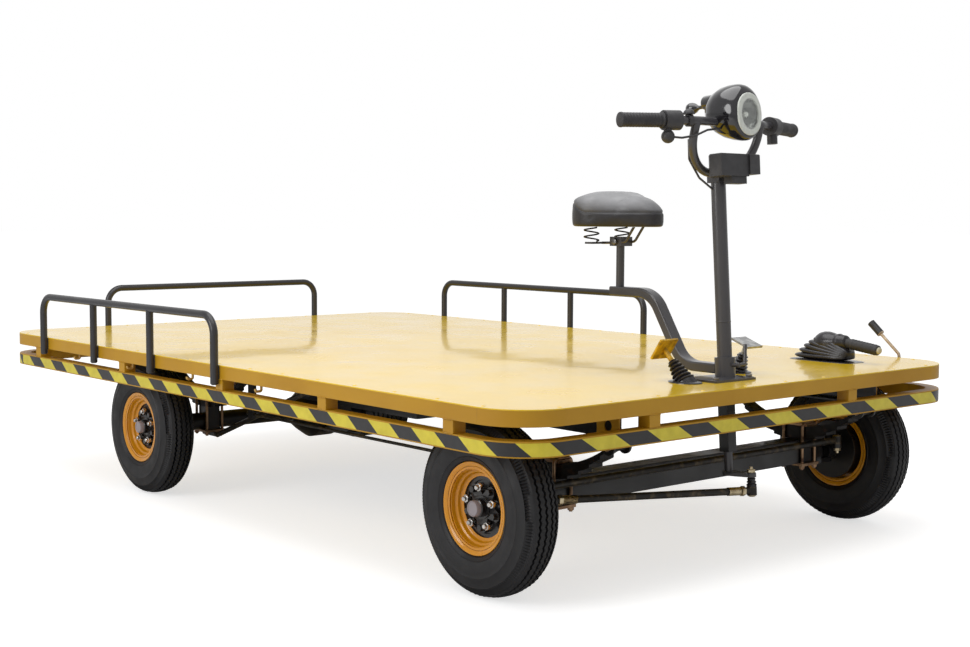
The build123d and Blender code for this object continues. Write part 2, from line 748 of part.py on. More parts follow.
def lamp_face(x, z_dir):
    """Plane across the lamp's axis."""
    return Plane(origin=(x, 0, LAMP_Z), x_dir=(0, 1, 0), z_dir=(z_dir, 0, 0))


def lens_prism(grow, start, end):
    """Prism with the lens's outline, drawn outward by a distance, between two places on the lamp's axis."""
    width = LENS_WIDTH + 2 * grow
    shape = RectangleRounded(width, LENS_HEIGHT + 2 * grow, width / 2 - 1)
    return extrude(lamp_face(start, 1) * Pos(0, -LENS_DROP) * shape, end - start)


def headlight_housing():
    """Helmet-shaped lamp shell over the bar, hollow behind the lens, with the key behind it."""
    shape = RectangleRounded(LAMP_WIDTH, LAMP_HEIGHT, LAMP_WIDTH / 2 - 1)
    shell = extrude(lamp_face(LAMP_FRONT, -1) * shape, LAMP_FRONT - LAMP_REAR, taper=LAMP_TAPER)
    shell = fillet(shell.faces().sort_by(Axis.X)[0].edges(), LAMP_DOME)
    shell = fillet(shell.faces().sort_by(Axis.X)[-1].edges(), LENS_SEAT)
    boss = LAMP_Z + KEY_RISE
    key = LAMP_REAR - 100
    shell += rod((LAMP_REAR - 50, 0, boss), (LAMP_FRONT / 2, 0, boss), KEY_BOSS)
    shell += rod((key, 0, boss - 6), (LAMP_REAR - 40, 0, boss - 6), KEY_HEAD / 3)
    shell += Pos(key, 0, boss - 6) * Sphere(KEY_HEAD)
    seat = LAMP_FRONT - LENS_SEAT
    shell -= lens_prism(FIT, seat, LAMP_FRONT)
    shell -= lens_prism(-LENS_SEAT, seat - LAMP_POCKET, seat)
    shell -= rod((BAR_FORWARD, -LAMP_WIDTH, BAR_Z), (BAR_FORWARD, LAMP_WIDTH, BAR_Z), BAR + FIT)
    return STEER_FRAME * shell


def headlight_lens():
    """Oval lens let into the front of the lamp."""
    seat = LAMP_FRONT - LENS_SEAT
    lens = lens_prism(0, seat, seat + LENS_THICK)
    return STEER_FRAME * fillet(lens.faces().sort_by(Axis.X)[-1].edges(), LENS_THICK / 2)


def control_box():
    """Display and key box on the front of the riser block, with an upright groove and its socket below."""
    near = CLAMP_BLOCK / 2
    far = near + BOX_DEPTH
    half = BOX_WIDTH / 2
    low = RISER_Z - BOX_DROP
    top = low + BOX_HEIGHT
    case = block((near, far), (-half, half), (low, top))
    rear_corners = case.edges().filter_by(Axis.Z).group_by(Axis.X)[0]
    case = chamfer(rear_corners, 20)
    case = fillet(case.edges().group_by(Axis.Z)[-1], 4)
    case -= block((far - 5, far), (0.1 * half, 0.48 * half), (low, top))
    case -= block((near, far), (0.48 * half, half), (low, low + 6))
    socket = block((near + 20, near + 50), (-0.3 * half, 0.45 * half), (low - 20, low))
    return STEER_FRAME * (case + socket)


def control_cables():
    """Lead from the switch pod to the lamp, and the lead from the riser down into the column."""
    pod = bar_point(-1, GRIP_LENGTH + POD_IN, POD_DROP)
    front = BAR_FORWARD + BAR
    feed = (pod, (front - 20, -RISER_Y - 54, BAR_Z - 48), (front - 4, -RISER_Y - 16, BAR_Z - 42),
            (front + 2, -RISER_Y + 26, BAR_Z - 26), (front, 20 - LAMP_WIDTH / 2, BAR_Z - 18))
    loop = ((BAR_FORWARD - 33, -RISER_Y + 1, BAR_Z - 48), (-6, -RISER_Y + 24, BAR_Z - 100),
            (-10, -RISER_Y / 2, BAR_Z - 150), (-6, -RISER_Y / 5, BAR_Z - 176), (0, 0, BAR_Z - 196))
    tubes = [STEER_FRAME * bent_rod(points, 20, CABLE) for points in (feed, loop)]
    tubes[0] -= STEER_FRAME * switch_pod() + headlight_housing()
    tubes[1] -= steering_post()
    return [tube.solids().sort_by(Axis.Y)[0] for tube in tubes]


# Seat

def seat_arm():
    """Bent rectangular tube from the steering foot up to the seat post."""
    x = [COLUMN_X - reach for reach in (ARM_REACH, ARM_KNEE_REAR, ARM_KNEE_FRONT, 0)]
    points = ((x[0], 0, ARM_HIGH), (x[1], 0, ARM_HIGH), (x[2], 0, ARM_LOW), (x[3], 0, ARM_LOW))
    path = FilletPolyline(*points, radius=ARM_BEND)
    section = Plane(origin=path @ 0, x_dir=(0, 1, 0), z_dir=path % 0)
    section = section * RectangleRounded(ARM_TUBE_WIDTH, ARM_TUBE_HEIGHT, 5)
    sleeve = STEER_FRAME * Cylinder(SLEEVE + FIT, 8 * SLEEVE_TOP)
    arm = sweep(section, path=path) - sleeve
    return arm.solids().sort_by(Axis.X)[0]


def coil_seat():
    """Height of the bridge that the saddle springs stand on."""
    return POST_TOP + 12


def seat_post():
    """Seat post with its clamp, the bridge for the springs and the saddle rails."""
    arm_top = ARM_HIGH + ARM_TUBE_HEIGHT / 2
    post = rod((POST_X, 0, arm_top), (POST_X, 0, POST_TOP), POST_RADIUS)
    post += block((POST_X - 22, POST_X + 26), (-24, 24), (POST_TOP, POST_TOP + 28))
    rear = POST_X - COIL_SETBACK
    end = COIL_Y + SPRING_COIL
    post += block((rear - SPRING_COIL, rear + SPRING_COIL), (-end, end), (coil_seat() - 6, coil_seat()))
    for _, side in SIDES:
        y = side * 20
        post += rod((rear, y, coil_seat() - 3), (POST_X, y, POST_TOP + 10), 4)
        rise = ((POST_X, y, POST_TOP + 10), (POST_X + 40, y, POST_TOP + 14), (POST_X + 74, y, SADDLE_LOW))
        post += bent_rod(rise, 20, 4)
    seat = block((POST_X, POST_X + 100), (-end, end), (SADDLE_LOW - FIT, SADDLE_LOW + 100))
    return post - seat


def saddle_spring(side):
    """Coil spring between the bridge and the saddle, as a stack of turns."""
    turns = 4
    height = SADDLE_LOW - FIT - coil_seat()
    pitch = height / turns
    turn = Torus(SPRING_COIL, pitch / 2 + 0.4)
    coil = Pos(0, 0, pitch / 2) * turn
    for number in range(1, turns):
        coil += Pos(0, 0, pitch * (number + 0.5)) * turn
    coil &= Pos(0, 0, height / 2) * Box(4 * SPRING_COIL, 4 * SPRING_COIL, height)
    return Pos(POST_X - COIL_SETBACK, side * COIL_Y, coil_seat()) * coil


def saddle():
    """Broad saddle, narrower at the nose."""
    rear = [Pos(0, side * SADDLE_REAR_Y) * Circle(SADDLE_REAR) for _, side in SIDES]
    plan = make_hull((rear[0] + rear[1] + Pos(SADDLE_NOSE_REACH, 0) * Circle(SADDLE_NOSE)).edges())
    body = extrude(plan, SADDLE_THICK)
    body = fillet(body.faces().sort_by(Axis.Z)[-1].edges(), 44)
    body = fillet(body.faces().sort_by(Axis.Z)[0].edges(), 10)
    return Pos(POST_X - SADDLE_SETBACK, 0, SADDLE_LOW) * body


# Pedals and levers on the deck

def pedal_frame(reach, y, lean):
    """Frame of a pedal stem, leaning from its foot on the deck."""
    return Location((COLUMN_X - reach, y, DECK_HEIGHT), (0, -lean, 0))


def pedals():
    """Pedal stems with their pads."""
    pair = []
    for reach, y, lean, length, pad_length, pad_width, tilt in PEDALS:
        pedal = rod((0, 0, 10), (0, 0, length), PEDAL_STEM)
        pad = Pos(0, 0, length) * Rot(0, tilt, 0) * Box(pad_length, pad_width, PEDAL_PAD)
        pair.append(pedal_frame(reach, y, lean) * (pedal + pad))
    return pair


def pedal_boots():
    """Ribbed rubber boots round the pedal stems, on their flanges."""
    pair = []
    bore = PEDAL_STEM + FIT
    for reach, y, lean, length, *_ in PEDALS:
        height = length * 0.62
        rib_height = height / BOOT_RIBS
        profile = [(bore, -40), (BOOT_RADIUS, -40)]
        for rib in range(BOOT_RIBS):
            wide = BOOT_RADIUS - rib * 2.6
            base = rib * rib_height
            profile += [(wide, base), (wide, base + rib_height / 2), (wide - 8, base + 0.75 * rib_height)]
        profile += [(PEDAL_STEM + 5, height), (bore, height)]
        boot = revolve(Plane.XZ * make_face(Polyline(*profile, close=True)), Axis.Z)
        boot = pedal_frame(reach, y, lean) * boot
        boot -= block((0, 2 * FRONT), (-HALF_WIDTH, HALF_WIDTH), (0, DECK_HEIGHT))
        pair.append(boot)
    return pair


def brake_boot():
    """Pleated boot of the parking brake, fanned up from its front edge, on a flange."""
    x = COLUMN_X - BRAKE_X
    low = DECK_HEIGHT + 3
    flange = BRAKE_WIDTH / 2 + 12
    boot = block((x - BRAKE_LENGTH - 15, x + 30), (BRAKE_Y - flange, BRAKE_Y + flange), (DECK_HEIGHT, low))
    for pleat in range(BRAKE_PLEATS):
        length = BRAKE_LENGTH - pleat * 14
        width = BRAKE_WIDTH - pleat * 7
        slab = Pos(-length / 2, 0, 7) * Box(length, width, 14)
        slab = fillet(slab.edges().filter_by(Axis.Z), 26)
        slab = fillet(slab.faces().sort_by(Axis.Z)[-1].edges(), 5)
        boot += Pos(x, BRAKE_Y, low + pleat * 3) * Rot(0, pleat * 5, 0) * slab
    start = (x - 96, BRAKE_Y, DECK_HEIGHT + 56)
    boot += Pos(*start) * Sphere(BRAKE_GRIP + 12)
    boot += rod(start, (x - 14, BRAKE_Y, DECK_HEIGHT + 62), BRAKE_GRIP + 6)
    return boot


def hand_levers():
    """Parking brake grip on its boot, and the gear lever outside the left deck edge."""
    x = COLUMN_X - BRAKE_X
    grip = rod((x - 36, BRAKE_Y, DECK_HEIGHT + 63), (x + 100, BRAKE_Y, DECK_HEIGHT + 45), BRAKE_GRIP)
    grip = (grip - brake_boot()).solids().sort_by(Axis.X)[-1]
    y = HALF_WIDTH + RAIL_TUBE / 2
    low = EDGE_LOW - GEAR_ROD - FIT
    shaft = ((x, y - 40, low), (x, y, low), (x - 10, y, DECK_HEIGHT + 10), (x - 110, y, DECK_HEIGHT + 98))
    lever = bent_rod(shaft, 12, GEAR_ROD)
    tip = Vector(*shaft[3])
    run = (tip - Vector(*shaft[2])).normalized()
    lever += rod(tip - run * 40, tip + run * 12, RAIL_TUBE / 2)
    return grip, lever


# Wheels, built round the Y axis with the outer face at +Y

def tyre():
    """Tyre with round shoulders and a crowned tread."""
    half = TYRE_WIDTH / 2
    seat = RIM_SEAT + FIT
    bead = RIM_WIDTH / 2 - 6
    wall = (RIM_FLANGE + WHEEL_RADIUS) / 2 - 8
    shoulder = (WHEEL_RADIUS - TREAD_CROWN, half - TREAD_INSET)
    foot = (RIM_FLANGE + 6, bead + 9)
    beads = Polyline((foot[0], -foot[1]), (RIM_FLANGE + 1, -bead), (seat, -bead), (seat, bead),
                     (RIM_FLANGE + 1, bead), foot)
    side = ThreePointArc(foot, (wall, half), shoulder)
    crown = ThreePointArc(shoulder, (WHEEL_RADIUS, 0), (shoulder[0], -shoulder[1]))
    far_side = ThreePointArc((shoulder[0], -shoulder[1]), (wall, -half), (foot[0], -foot[1]))
    return revolve(make_face(beads + side + crown + far_side), Axis.Y)


def rim():
    """Stepped rim with two flanges and a lip that is bolted to the hub."""
    half = RIM_WIDTH / 2
    flange = half - 6 + FIT
    inner = RIM_SEAT - 4
    step = (inner + RIM_HOLE) / 2 + 5
    lip = RIM_LIP_Y + RIM_LIP
    return turned((
        (-half, RIM_FLANGE), (-flange, RIM_FLANGE), (-flange, RIM_SEAT), (flange, RIM_SEAT),
        (flange, RIM_FLANGE), (half, RIM_FLANGE), (half, RIM_FLANGE - 7), (half - 6, RIM_FLANGE - 14),
        (half - 10, RIM_FLANGE - 14), (half - 10, inner), (half - 24, inner), (half - 24, step), (lip, step),
        (lip, RIM_HOLE), (RIM_LIP_Y, RIM_HOLE), (RIM_LIP_Y, inner), (-half + 6, inner),
        (-half, RIM_FLANGE - 14)))


def hub():
    """Brake drum with a five-armed face, wheel nuts and a round cap."""
    face = RIM_LIP_Y
    bore = 25
    body = turned((
        (-DRUM_DEPTH, SPINDLE + SLACK), (-DRUM_DEPTH, HUB_RADIUS), (face, HUB_RADIUS), (face, RIM_HOLE - 4),
        (face - 6, RIM_HOLE - 4), (face - 6, 30), (face + 12, 30), (face + 12, 24), (face + 28, 24),
        (face + 32, 18), (face + 32, 0), (bore, 0), (bore, SPINDLE + SLACK)))
    star = Sketch()
    for arm in range(HUB_STUDS):
        star += Rot(0, 0, arm * 360 / HUB_STUDS) * make_hull(
            (Circle(24) + Pos(0, STUD_CIRCLE) * Circle(14)).edges())
    plane = Plane(origin=(0, face - 6, 0), x_dir=(1, 0, 0), z_dir=(0, 1, 0))
    arms = extrude(plane * star, 14)
    for arm in range(HUB_STUDS):
        angle = 2 * pi * arm / HUB_STUDS
        nut = plane * Pos(-STUD_CIRCLE * sin(angle), STUD_CIRCLE * cos(angle))
        arms += extrude(nut * RegularPolygon(9, 6), 26)
    bored = rod((0, -DRUM_DEPTH, 0), (0, bore, 0), SPINDLE + SLACK)
    return body + (arms - bored)


def place_wheel(piece, x, side):
    """Wheel piece moved to its axle end, outer face outward."""
    turn = Rot(0, 0, 0 if side > 0 else 180)
    return Pos(x, side * WHEEL_Y, WHEEL_RADIUS) * turn * piece


# Assembly

def write(name, pieces):
    """One node's solids as a STEP file."""
    listed = pieces if isinstance(pieces, (list, tuple)) else [pieces]
    solids = [solid for piece in listed for solid in piece.solids()]
    export_step(solids[0] if len(solids) == 1 else Compound(children=solids), f"parts/{name}.step")


def write_chassis():
    """Deck, frame, rails, running gear, seat and floor controls."""
    load_sheet, driver_sheet = deck_sheets()
    edge = ring(EDGE_TUBE, EDGE_LOW, EDGE_TOP)
    bumper = ring(BUMPER, BUMPER_LOW, BUMPER_TOP)
    axles = ((AXLE_FRONT, BEAM_WIDTH / 2, BEAM_TOP - BEAM_HEIGHT),
             (AXLE_REAR, REAR_TUBE, WHEEL_RADIUS - REAR_TUBE))
    springs = [(x, side * SPRING_Y, half, low) for x, half, low in axles for _, side in SIDES]
    grip, gear_lever = hand_levers()
    nodes = {
        "deck_load_sheet": load_sheet,
        "deck_driver_sheet": driver_sheet,
        "deck_edge_sides": edge & straight_run(EDGE_LOW, EDGE_TOP),
        "deck_edge_ends": edge - straight_run(EDGE_LOW, EDGE_TOP),
        "cross_members": cross_members(),
        "chassis_channels": mirrored_pair(chassis_channel),
        "bumper_sides": bumper & straight_run(BUMPER_LOW, BUMPER_TOP),
        "bumper_ends": bumper - straight_run(BUMPER_LOW, BUMPER_TOP),
        "bumper_stubs": bumper_stubs() + mirrored_pair(tow_plate),
        "rope_hooks": rope_hooks(),
        "side_rail_right": side_rail(-1),
        "side_rail_left": side_rail(1),
        "rear_rail": rear_rail(),
        "leaf_springs": [leaf_spring(x, y) for x, y, _, _ in springs],
        "spring_hangers": [
            spring_hanger(x + end, y) for x, y, _, _ in springs for end in (-SPRING_SPAN, SPRING_SPAN)],
        "spring_clamps": [spring_clamp(*spring) for spring in springs],
        "front_axle": front_axle(),
        "rear_axle": rear_axle(),
        "drive_motor": drive_motor(),
        "battery_box": battery_box(),
        "radius_rods": mirrored_pair(radius_rod),
        "brake_rod": brake_line(BRAKE_ROD),
        "brake_lugs": brake_lugs(),
        "steering_foot": steering_foot(),
        "steering_housing": steering_housing(),
        "seat_arm": seat_arm(),
        "seat_post": seat_post(),
        "saddle_springs": mirrored_pair(saddle_spring),
        "saddle": saddle(),
        "pedals": pedals(),
        "pedal_boots": pedal_boots(),
        "brake_boot": brake_boot(),
        "brake_grip": grip,
        "gear_lever": gear_lever,
    }
    for name, pieces in nodes.items():
        write(name, pieces)


def write_steering():
    """What turns with the handlebar, and the linkage to the front wheels."""
    write("steering_post", steering_post())
    write("handlebar", handlebar())
    write("grips", grips())
    write("bar_controls", bar_controls())
    write("headlight_housing", headlight_housing())
    write("headlight_lens", headlight_lens())
    write("control_box", control_box())
    write("control_cables", control_cables())
    write("tie_rod", tie_rod())
    write("drag_link", drag_link())
    for name, side in SIDES:
        write(f"knuckle_{name}", knuckle(side))


def write_wheels():
    """Four wheels, each a tyre, a rim and a hub."""
    pieces = {"tyre": tyre(), "rim": rim(), "hub": hub()}
    for end, x in (("front", AXLE_FRONT), ("rear", AXLE_REAR)):
        for name, side in SIDES:
            for kind, piece in pieces.items():
                write(f"{kind}_{end}_{name}", place_wheel(piece, x, side))


write_chassis()
write_steering()
write_wheels()
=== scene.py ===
import json
from math import atan2, cos, exp, hypot, pi, radians, sin, sqrt

import bmesh
import bpy
from mathutils import Matrix, Vector


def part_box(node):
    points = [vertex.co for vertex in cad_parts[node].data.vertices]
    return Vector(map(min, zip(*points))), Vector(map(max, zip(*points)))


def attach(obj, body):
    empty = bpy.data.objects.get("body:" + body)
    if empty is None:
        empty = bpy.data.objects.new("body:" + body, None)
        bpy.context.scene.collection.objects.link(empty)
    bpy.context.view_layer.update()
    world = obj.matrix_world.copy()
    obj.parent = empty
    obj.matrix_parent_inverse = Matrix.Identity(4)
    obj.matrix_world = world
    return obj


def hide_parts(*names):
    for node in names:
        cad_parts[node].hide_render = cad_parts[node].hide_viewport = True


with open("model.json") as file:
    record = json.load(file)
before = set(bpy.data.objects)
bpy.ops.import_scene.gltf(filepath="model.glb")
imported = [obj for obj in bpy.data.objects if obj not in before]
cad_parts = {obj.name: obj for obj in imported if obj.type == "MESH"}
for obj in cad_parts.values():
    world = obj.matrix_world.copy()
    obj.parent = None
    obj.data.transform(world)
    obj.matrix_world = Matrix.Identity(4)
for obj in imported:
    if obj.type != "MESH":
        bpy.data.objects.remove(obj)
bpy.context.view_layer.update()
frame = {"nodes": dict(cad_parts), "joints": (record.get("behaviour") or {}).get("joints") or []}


# Chassis frame: square mild-steel tube round the deck's edge, with short stubs that hang the bumper
# ring, all welded and sprayed in ochre enamel. Edges are rubbed darker where ropes and boxes pass.

def tone(red, green, blue):
    """Linear colour of a paint-card tone given from 0 to 255."""
    return tuple((part / 255 / 12.92 if part < 10 else ((part / 255 + 0.055) / 1.055) ** 2.4)
                 for part in (red, green, blue))


def over_piece(tree):
    """Place on the piece itself, in metres."""
    return tree.nodes.new("ShaderNodeTexCoord").outputs["Object"]


def grain(tree, scale, detail):
    """Noise laid over the piece itself, from 0 to 1."""
    noise = tree.nodes.new("ShaderNodeTexNoise")
    noise.inputs["Scale"].default_value = scale
    noise.inputs["Detail"].default_value = detail
    tree.links.new(over_piece(tree), noise.inputs["Vector"])
    return noise.outputs[0]


def tones(tree, factor, first, last):
    """Two colours along a factor, each given with its place."""
    ramp = tree.nodes.new("ShaderNodeValToRGB")
    for element, (place, colour) in zip(ramp.color_ramp.elements, (first, last)):
        element.position = place
        element.color = (*colour, 1.0)
    tree.links.new(factor, ramp.inputs["Fac"])
    return ramp.outputs["Color"]


def span(tree, factor, start, end, low=0.0, high=1.0):
    """A factor between two limits spread over a range of values."""
    spread = tree.nodes.new("ShaderNodeMapRange")
    for name, value in (("From Min", start), ("From Max", end), ("To Min", low), ("To Max", high)):
        spread.inputs[name].default_value = value
    tree.links.new(factor, spread.inputs["Value"])
    return spread.outputs["Result"]


def shine(tree, shader, scale, detail, low, high):
    """Roughness that wanders between two values."""
    tree.links.new(span(tree, grain(tree, scale, detail), 0.3, 0.7, low, high), shader.inputs["Roughness"])


def worked(tree, kind, operation, *values):
    """Outputs of a maths node that takes links and plain values."""
    node = tree.nodes.new(f"ShaderNode{kind}")
    node.operation = operation
    for socket, value in zip(node.inputs, values):
        if isinstance(value, bpy.types.NodeSocket):
            tree.links.new(value, socket)
        else:
            socket.default_value = value
    return node.outputs


def mixed(tree, factor, first, second):
    """Blend of two colours."""
    blend = tree.nodes.new("ShaderNodeMix")
    blend.data_type = "RGBA"
    tree.links.new(factor, blend.inputs["Factor"])
    for letter, colour in (("A", first), ("B", second)):
        socket = next(item for item in blend.inputs if item.name == letter and item.type == "RGBA")
        if isinstance(colour, tuple):
            socket.default_value = (*colour, 1.0)
        else:
            tree.links.new(colour, socket)
    return next(item for item in blend.outputs if item.type == "RGBA")


def new_finish(name, metallic=0.0, coat=0.0, coat_roughness=0.06):
    """Empty Principled finish, with its node tree and shader."""
    material = bpy.data.materials.new(name)
    material.use_nodes = True
    shader = material.node_tree.nodes["Principled BSDF"]
    shader.inputs["Metallic"].default_value = metallic
    shader.inputs["Coat Weight"].default_value = coat
    shader.inputs["Coat Roughness"].default_value = coat_roughness
    return material, material.node_tree, shader


def relief(tree, shader, height, depth, normal=None):
    """Bump of a depth in metres on a shader."""
    bump = tree.nodes.new("ShaderNodeBump")
    bump.inputs["Distance"].default_value = depth
    tree.links.new(height, bump.inputs["Height"])
    if normal:
        tree.links.new(normal, bump.inputs["Normal"])
    tree.links.new(bump.outputs["Normal"], shader.inputs["Normal"])
    return bump.outputs["Normal"]


def enamel(name, light, dark, rubbed, gloss, coat=0.6, sheen=0.5, edge=0.0016):
    """Sprayed enamel on steel: cloudy tone, orange peel, softened edges rubbed to another tone."""
    material, tree, shader = new_finish(name, coat=coat)
    shader.inputs["Specular IOR Level"].default_value = sheen
    body = tones(tree, grain(tree, 3.0, 5.0), (0.32, dark), (0.68, light))
    softened = tree.nodes.new("ShaderNodeBevel")
    softened.samples = 4
    softened.inputs["Radius"].default_value = edge
    geometry = tree.nodes.new("ShaderNodeNewGeometry")
    facing = worked(tree, "VectorMath", "DOT_PRODUCT", softened.outputs["Normal"], geometry.outputs["Normal"])
    edges = span(tree, facing["Value"], 0.985, 0.85)
    scuffs = span(tree, grain(tree, 38.0, 6.0), 0.46, 0.66)
    rubs = worked(tree, "Math", "MULTIPLY", edges, scuffs)["Value"]
    tree.links.new(mixed(tree, rubs, body, rubbed), shader.inputs["Base Color"])
    shine(tree, shader, 9.0, 4.0, *gloss)
    relief(tree, shader, grain(tree, 260.0, 2.0), 0.00012, softened.outputs["Normal"])
    return material


def finish_nodes(material, *names):
    """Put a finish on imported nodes."""
    for name in names:
        for slot in frame["nodes"][name].material_slots:
            slot.material = material


def add_piece(name, shape, material, body, slot, crease=35):
    """Close a bmesh as a piece that rides on a body."""
    bmesh.ops.recalc_face_normals(shape, faces=shape.faces)
    mesh = bpy.data.meshes.new(name)
    shape.to_mesh(mesh)
    shape.free()
    mesh.polygons.foreach_set("use_smooth", [True] * len(mesh.polygons))
    mesh.set_sharp_from_angle(angle=radians(crease))
    mesh.materials.append(material)
    piece = bpy.data.objects.new(name, mesh)
    bpy.context.scene.collection.objects.link(piece)
    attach(piece, body)
    return piece


def weld_run(shape, start, end, radius=0.0024):
    """Row of overlapping weld beads between two points."""
    line = Vector(end) - Vector(start)
    count = round(line.length / (1.5 * radius))
    for number in range(count + 1):
        bead = Matrix.Translation(Vector(start) + line * number / count)
        bmesh.ops.create_uvsphere(shape, u_segments=8, v_segments=4, radius=radius, matrix=bead)


STUB_HALF = 0.018
STUB_STATIONS = (-1.17735, -0.50735, 0.13265, 0.68265, 1.23265)
STUB_REAR = (-0.41, 0.41)
STUB_FRONT = (-0.465, 0.375)

ochre = enamel("ochre_enamel", tone(196, 148, 34), tone(180, 132, 26), tone(122, 82, 24), (0.34, 0.52), 0.1, 0.3)
finish_nodes(ochre, "deck_edge_sides", "deck_edge_ends", "bumper_stubs", "bumper_sides", "bumper_ends")
edge_low, edge_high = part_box("deck_edge_ends")
bumper_low, bumper_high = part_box("bumper_ends")
stub_welds = bmesh.new()
for height in (bumper_high.z, edge_low.z):
    for x in STUB_STATIONS:
        for y in (edge_low.y, edge_high.y):
            weld_run(stub_welds, (x - STUB_HALF, y, height), (x + STUB_HALF, y, height))
    for x, stubs in ((edge_low.x, STUB_REAR), (edge_high.x, STUB_FRONT)):
        for y in stubs:
            weld_run(stub_welds, (x, y - STUB_HALF, height), (x, y + STUB_HALF, height))
add_piece("stub_weld_beads", stub_welds, ochre, "chassis", "frame_ochre")


# Deck sheets: 3 mm steel sheet in glossy yellow enamel, plug-welded down to the tubes along its edge.
# The sheet is a little wavy between the welds, which shows in its reflections.

def cloudy(tree, scale, detail, dark, light):
    """Two colours that drift into each other."""
    return tones(tree, grain(tree, scale, detail), (0.3, dark), (0.7, light))


def deck_enamel():
    """Glossy yellow with faint clouds, scuffs and a slow wave in the sheet."""
    material, tree, shader = new_finish("deck_yellow_enamel", coat=0.4, coat_roughness=0.05)
    shader.inputs["Specular IOR Level"].default_value = 0.25
    body = cloudy(tree, 1.4, 6.0, tone(232, 190, 34), tone(243, 203, 48))
    dust = span(tree, grain(tree, 24.0, 8.0), 0.62, 0.8, 0.0, 0.25)
    tree.links.new(mixed(tree, dust, body, tone(226, 206, 130)), shader.inputs["Base Color"])
    tree.links.new(span(tree, grain(tree, 6.0, 5.0), 0.3, 0.75, 0.16, 0.3), shader.inputs["Roughness"])
    wave = relief(tree, shader, grain(tree, 3.2, 1.0), 0.0016)
    tree.links.new(wave, shader.inputs["Coat Normal"])
    relief(tree, shader, grain(tree, 320.0, 2.0), 0.00006, wave)
    return material


def dome(shape, place, radius, height):
    """Low round head on a face that looks up."""
    squash = Matrix.Translation(place) @ Matrix.Diagonal((1.0, 1.0, height / radius, 1.0))
    bmesh.ops.create_uvsphere(shape, u_segments=12, v_segments=6, radius=radius, matrix=squash)


DECK_CORNER = 0.15
WELD_INSET = 0.02
WELD_PITCH = 0.175
WELD_SIZE = (0.006, 0.0014)

deck_paint = deck_enamel()
finish_nodes(deck_paint, "deck_load_sheet", "deck_driver_sheet")
deck_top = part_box("deck_driver_sheet")[1].z
plugs = bmesh.new()
run_x = edge_high.x - edge_low.x - 2 * DECK_CORNER
run_y = edge_high.y - edge_low.y - 2 * DECK_CORNER
for side in (edge_low.y + WELD_INSET, edge_high.y - WELD_INSET):
    count = round(run_x / WELD_PITCH)
    for number in range(count + 1):
        dome(plugs, (edge_low.x + DECK_CORNER + run_x * number / count, side, deck_top), *WELD_SIZE)
for end in (edge_low.x + WELD_INSET, edge_high.x - WELD_INSET):
    count = round(run_y / WELD_PITCH)
    for number in range(count + 1):
        dome(plugs, (end, edge_low.y + DECK_CORNER + run_y * number / count, deck_top), *WELD_SIZE)
add_piece("deck_plug_welds", plugs, deck_paint, "chassis", "deck_yellow")


# Hazard tape: black and yellow reflective tape stuck round the outer face of the bumper ring.
# It is narrower than the tube, so a lip of ochre shows above and below it.

TAPE_LIP = 0.0035
TAPE_THICK = 0.0006
TAPE_LEAN = 0.235
TAPE_START = 0.45
BAR_EDGE = (0.497, 0.503)
CORNER_PITCH = 0.1705
CORNER_STEPS = 18


def cells(tree, scale):
    """Distance from the middles of small cells laid over the piece."""
    pattern = tree.nodes.new("ShaderNodeTexVoronoi")
    pattern.inputs["Scale"].default_value = scale
    tree.links.new(over_piece(tree), pattern.inputs["Vector"])
    return pattern.outputs["Distance"]


def tape_finish():
    """Slanted black and yellow bars, one pair to each unit of the tape's own length."""
    material, tree, shader = new_finish("hazard_tape", coat=0.4, coat_roughness=0.15)
    parts = tree.nodes.new("ShaderNodeSeparateXYZ")
    tree.links.new(tree.nodes.new("ShaderNodeUVMap").outputs["UV"], parts.inputs["Vector"])
    slant = worked(tree, "Math", "MULTIPLY_ADD", parts.outputs["Y"], TAPE_LEAN, parts.outputs["X"])["Value"]
    share = worked(tree, "Math", "FRACT", slant)["Value"]
    yellow = cloudy(tree, 30.0, 5.0, tone(204, 186, 34), tone(222, 204, 50))
    black = cloudy(tree, 45.0, 5.0, tone(19, 17, 17), tone(29, 26, 26))
    tree.links.new(mixed(tree, span(tree, share, *BAR_EDGE), black, yellow), shader.inputs["Base Color"])
    shine(tree, shader, 14.0, 3.0, 0.32, 0.5)
    relief(tree, shader, cells(tree, 420.0), 0.00008)
    return material


def next_ring(shape, ring):
    """Draw edges out once, and give the new points and edges."""
    made = bmesh.ops.extrude_edge_only(shape, edges=ring)["geom"]
    points = [item for item in made if isinstance(item, bmesh.types.BMVert)]
    fresh = set(points)
    return points, [item for item in made if isinstance(item, bmesh.types.BMEdge) and set(item.verts) <= fresh]


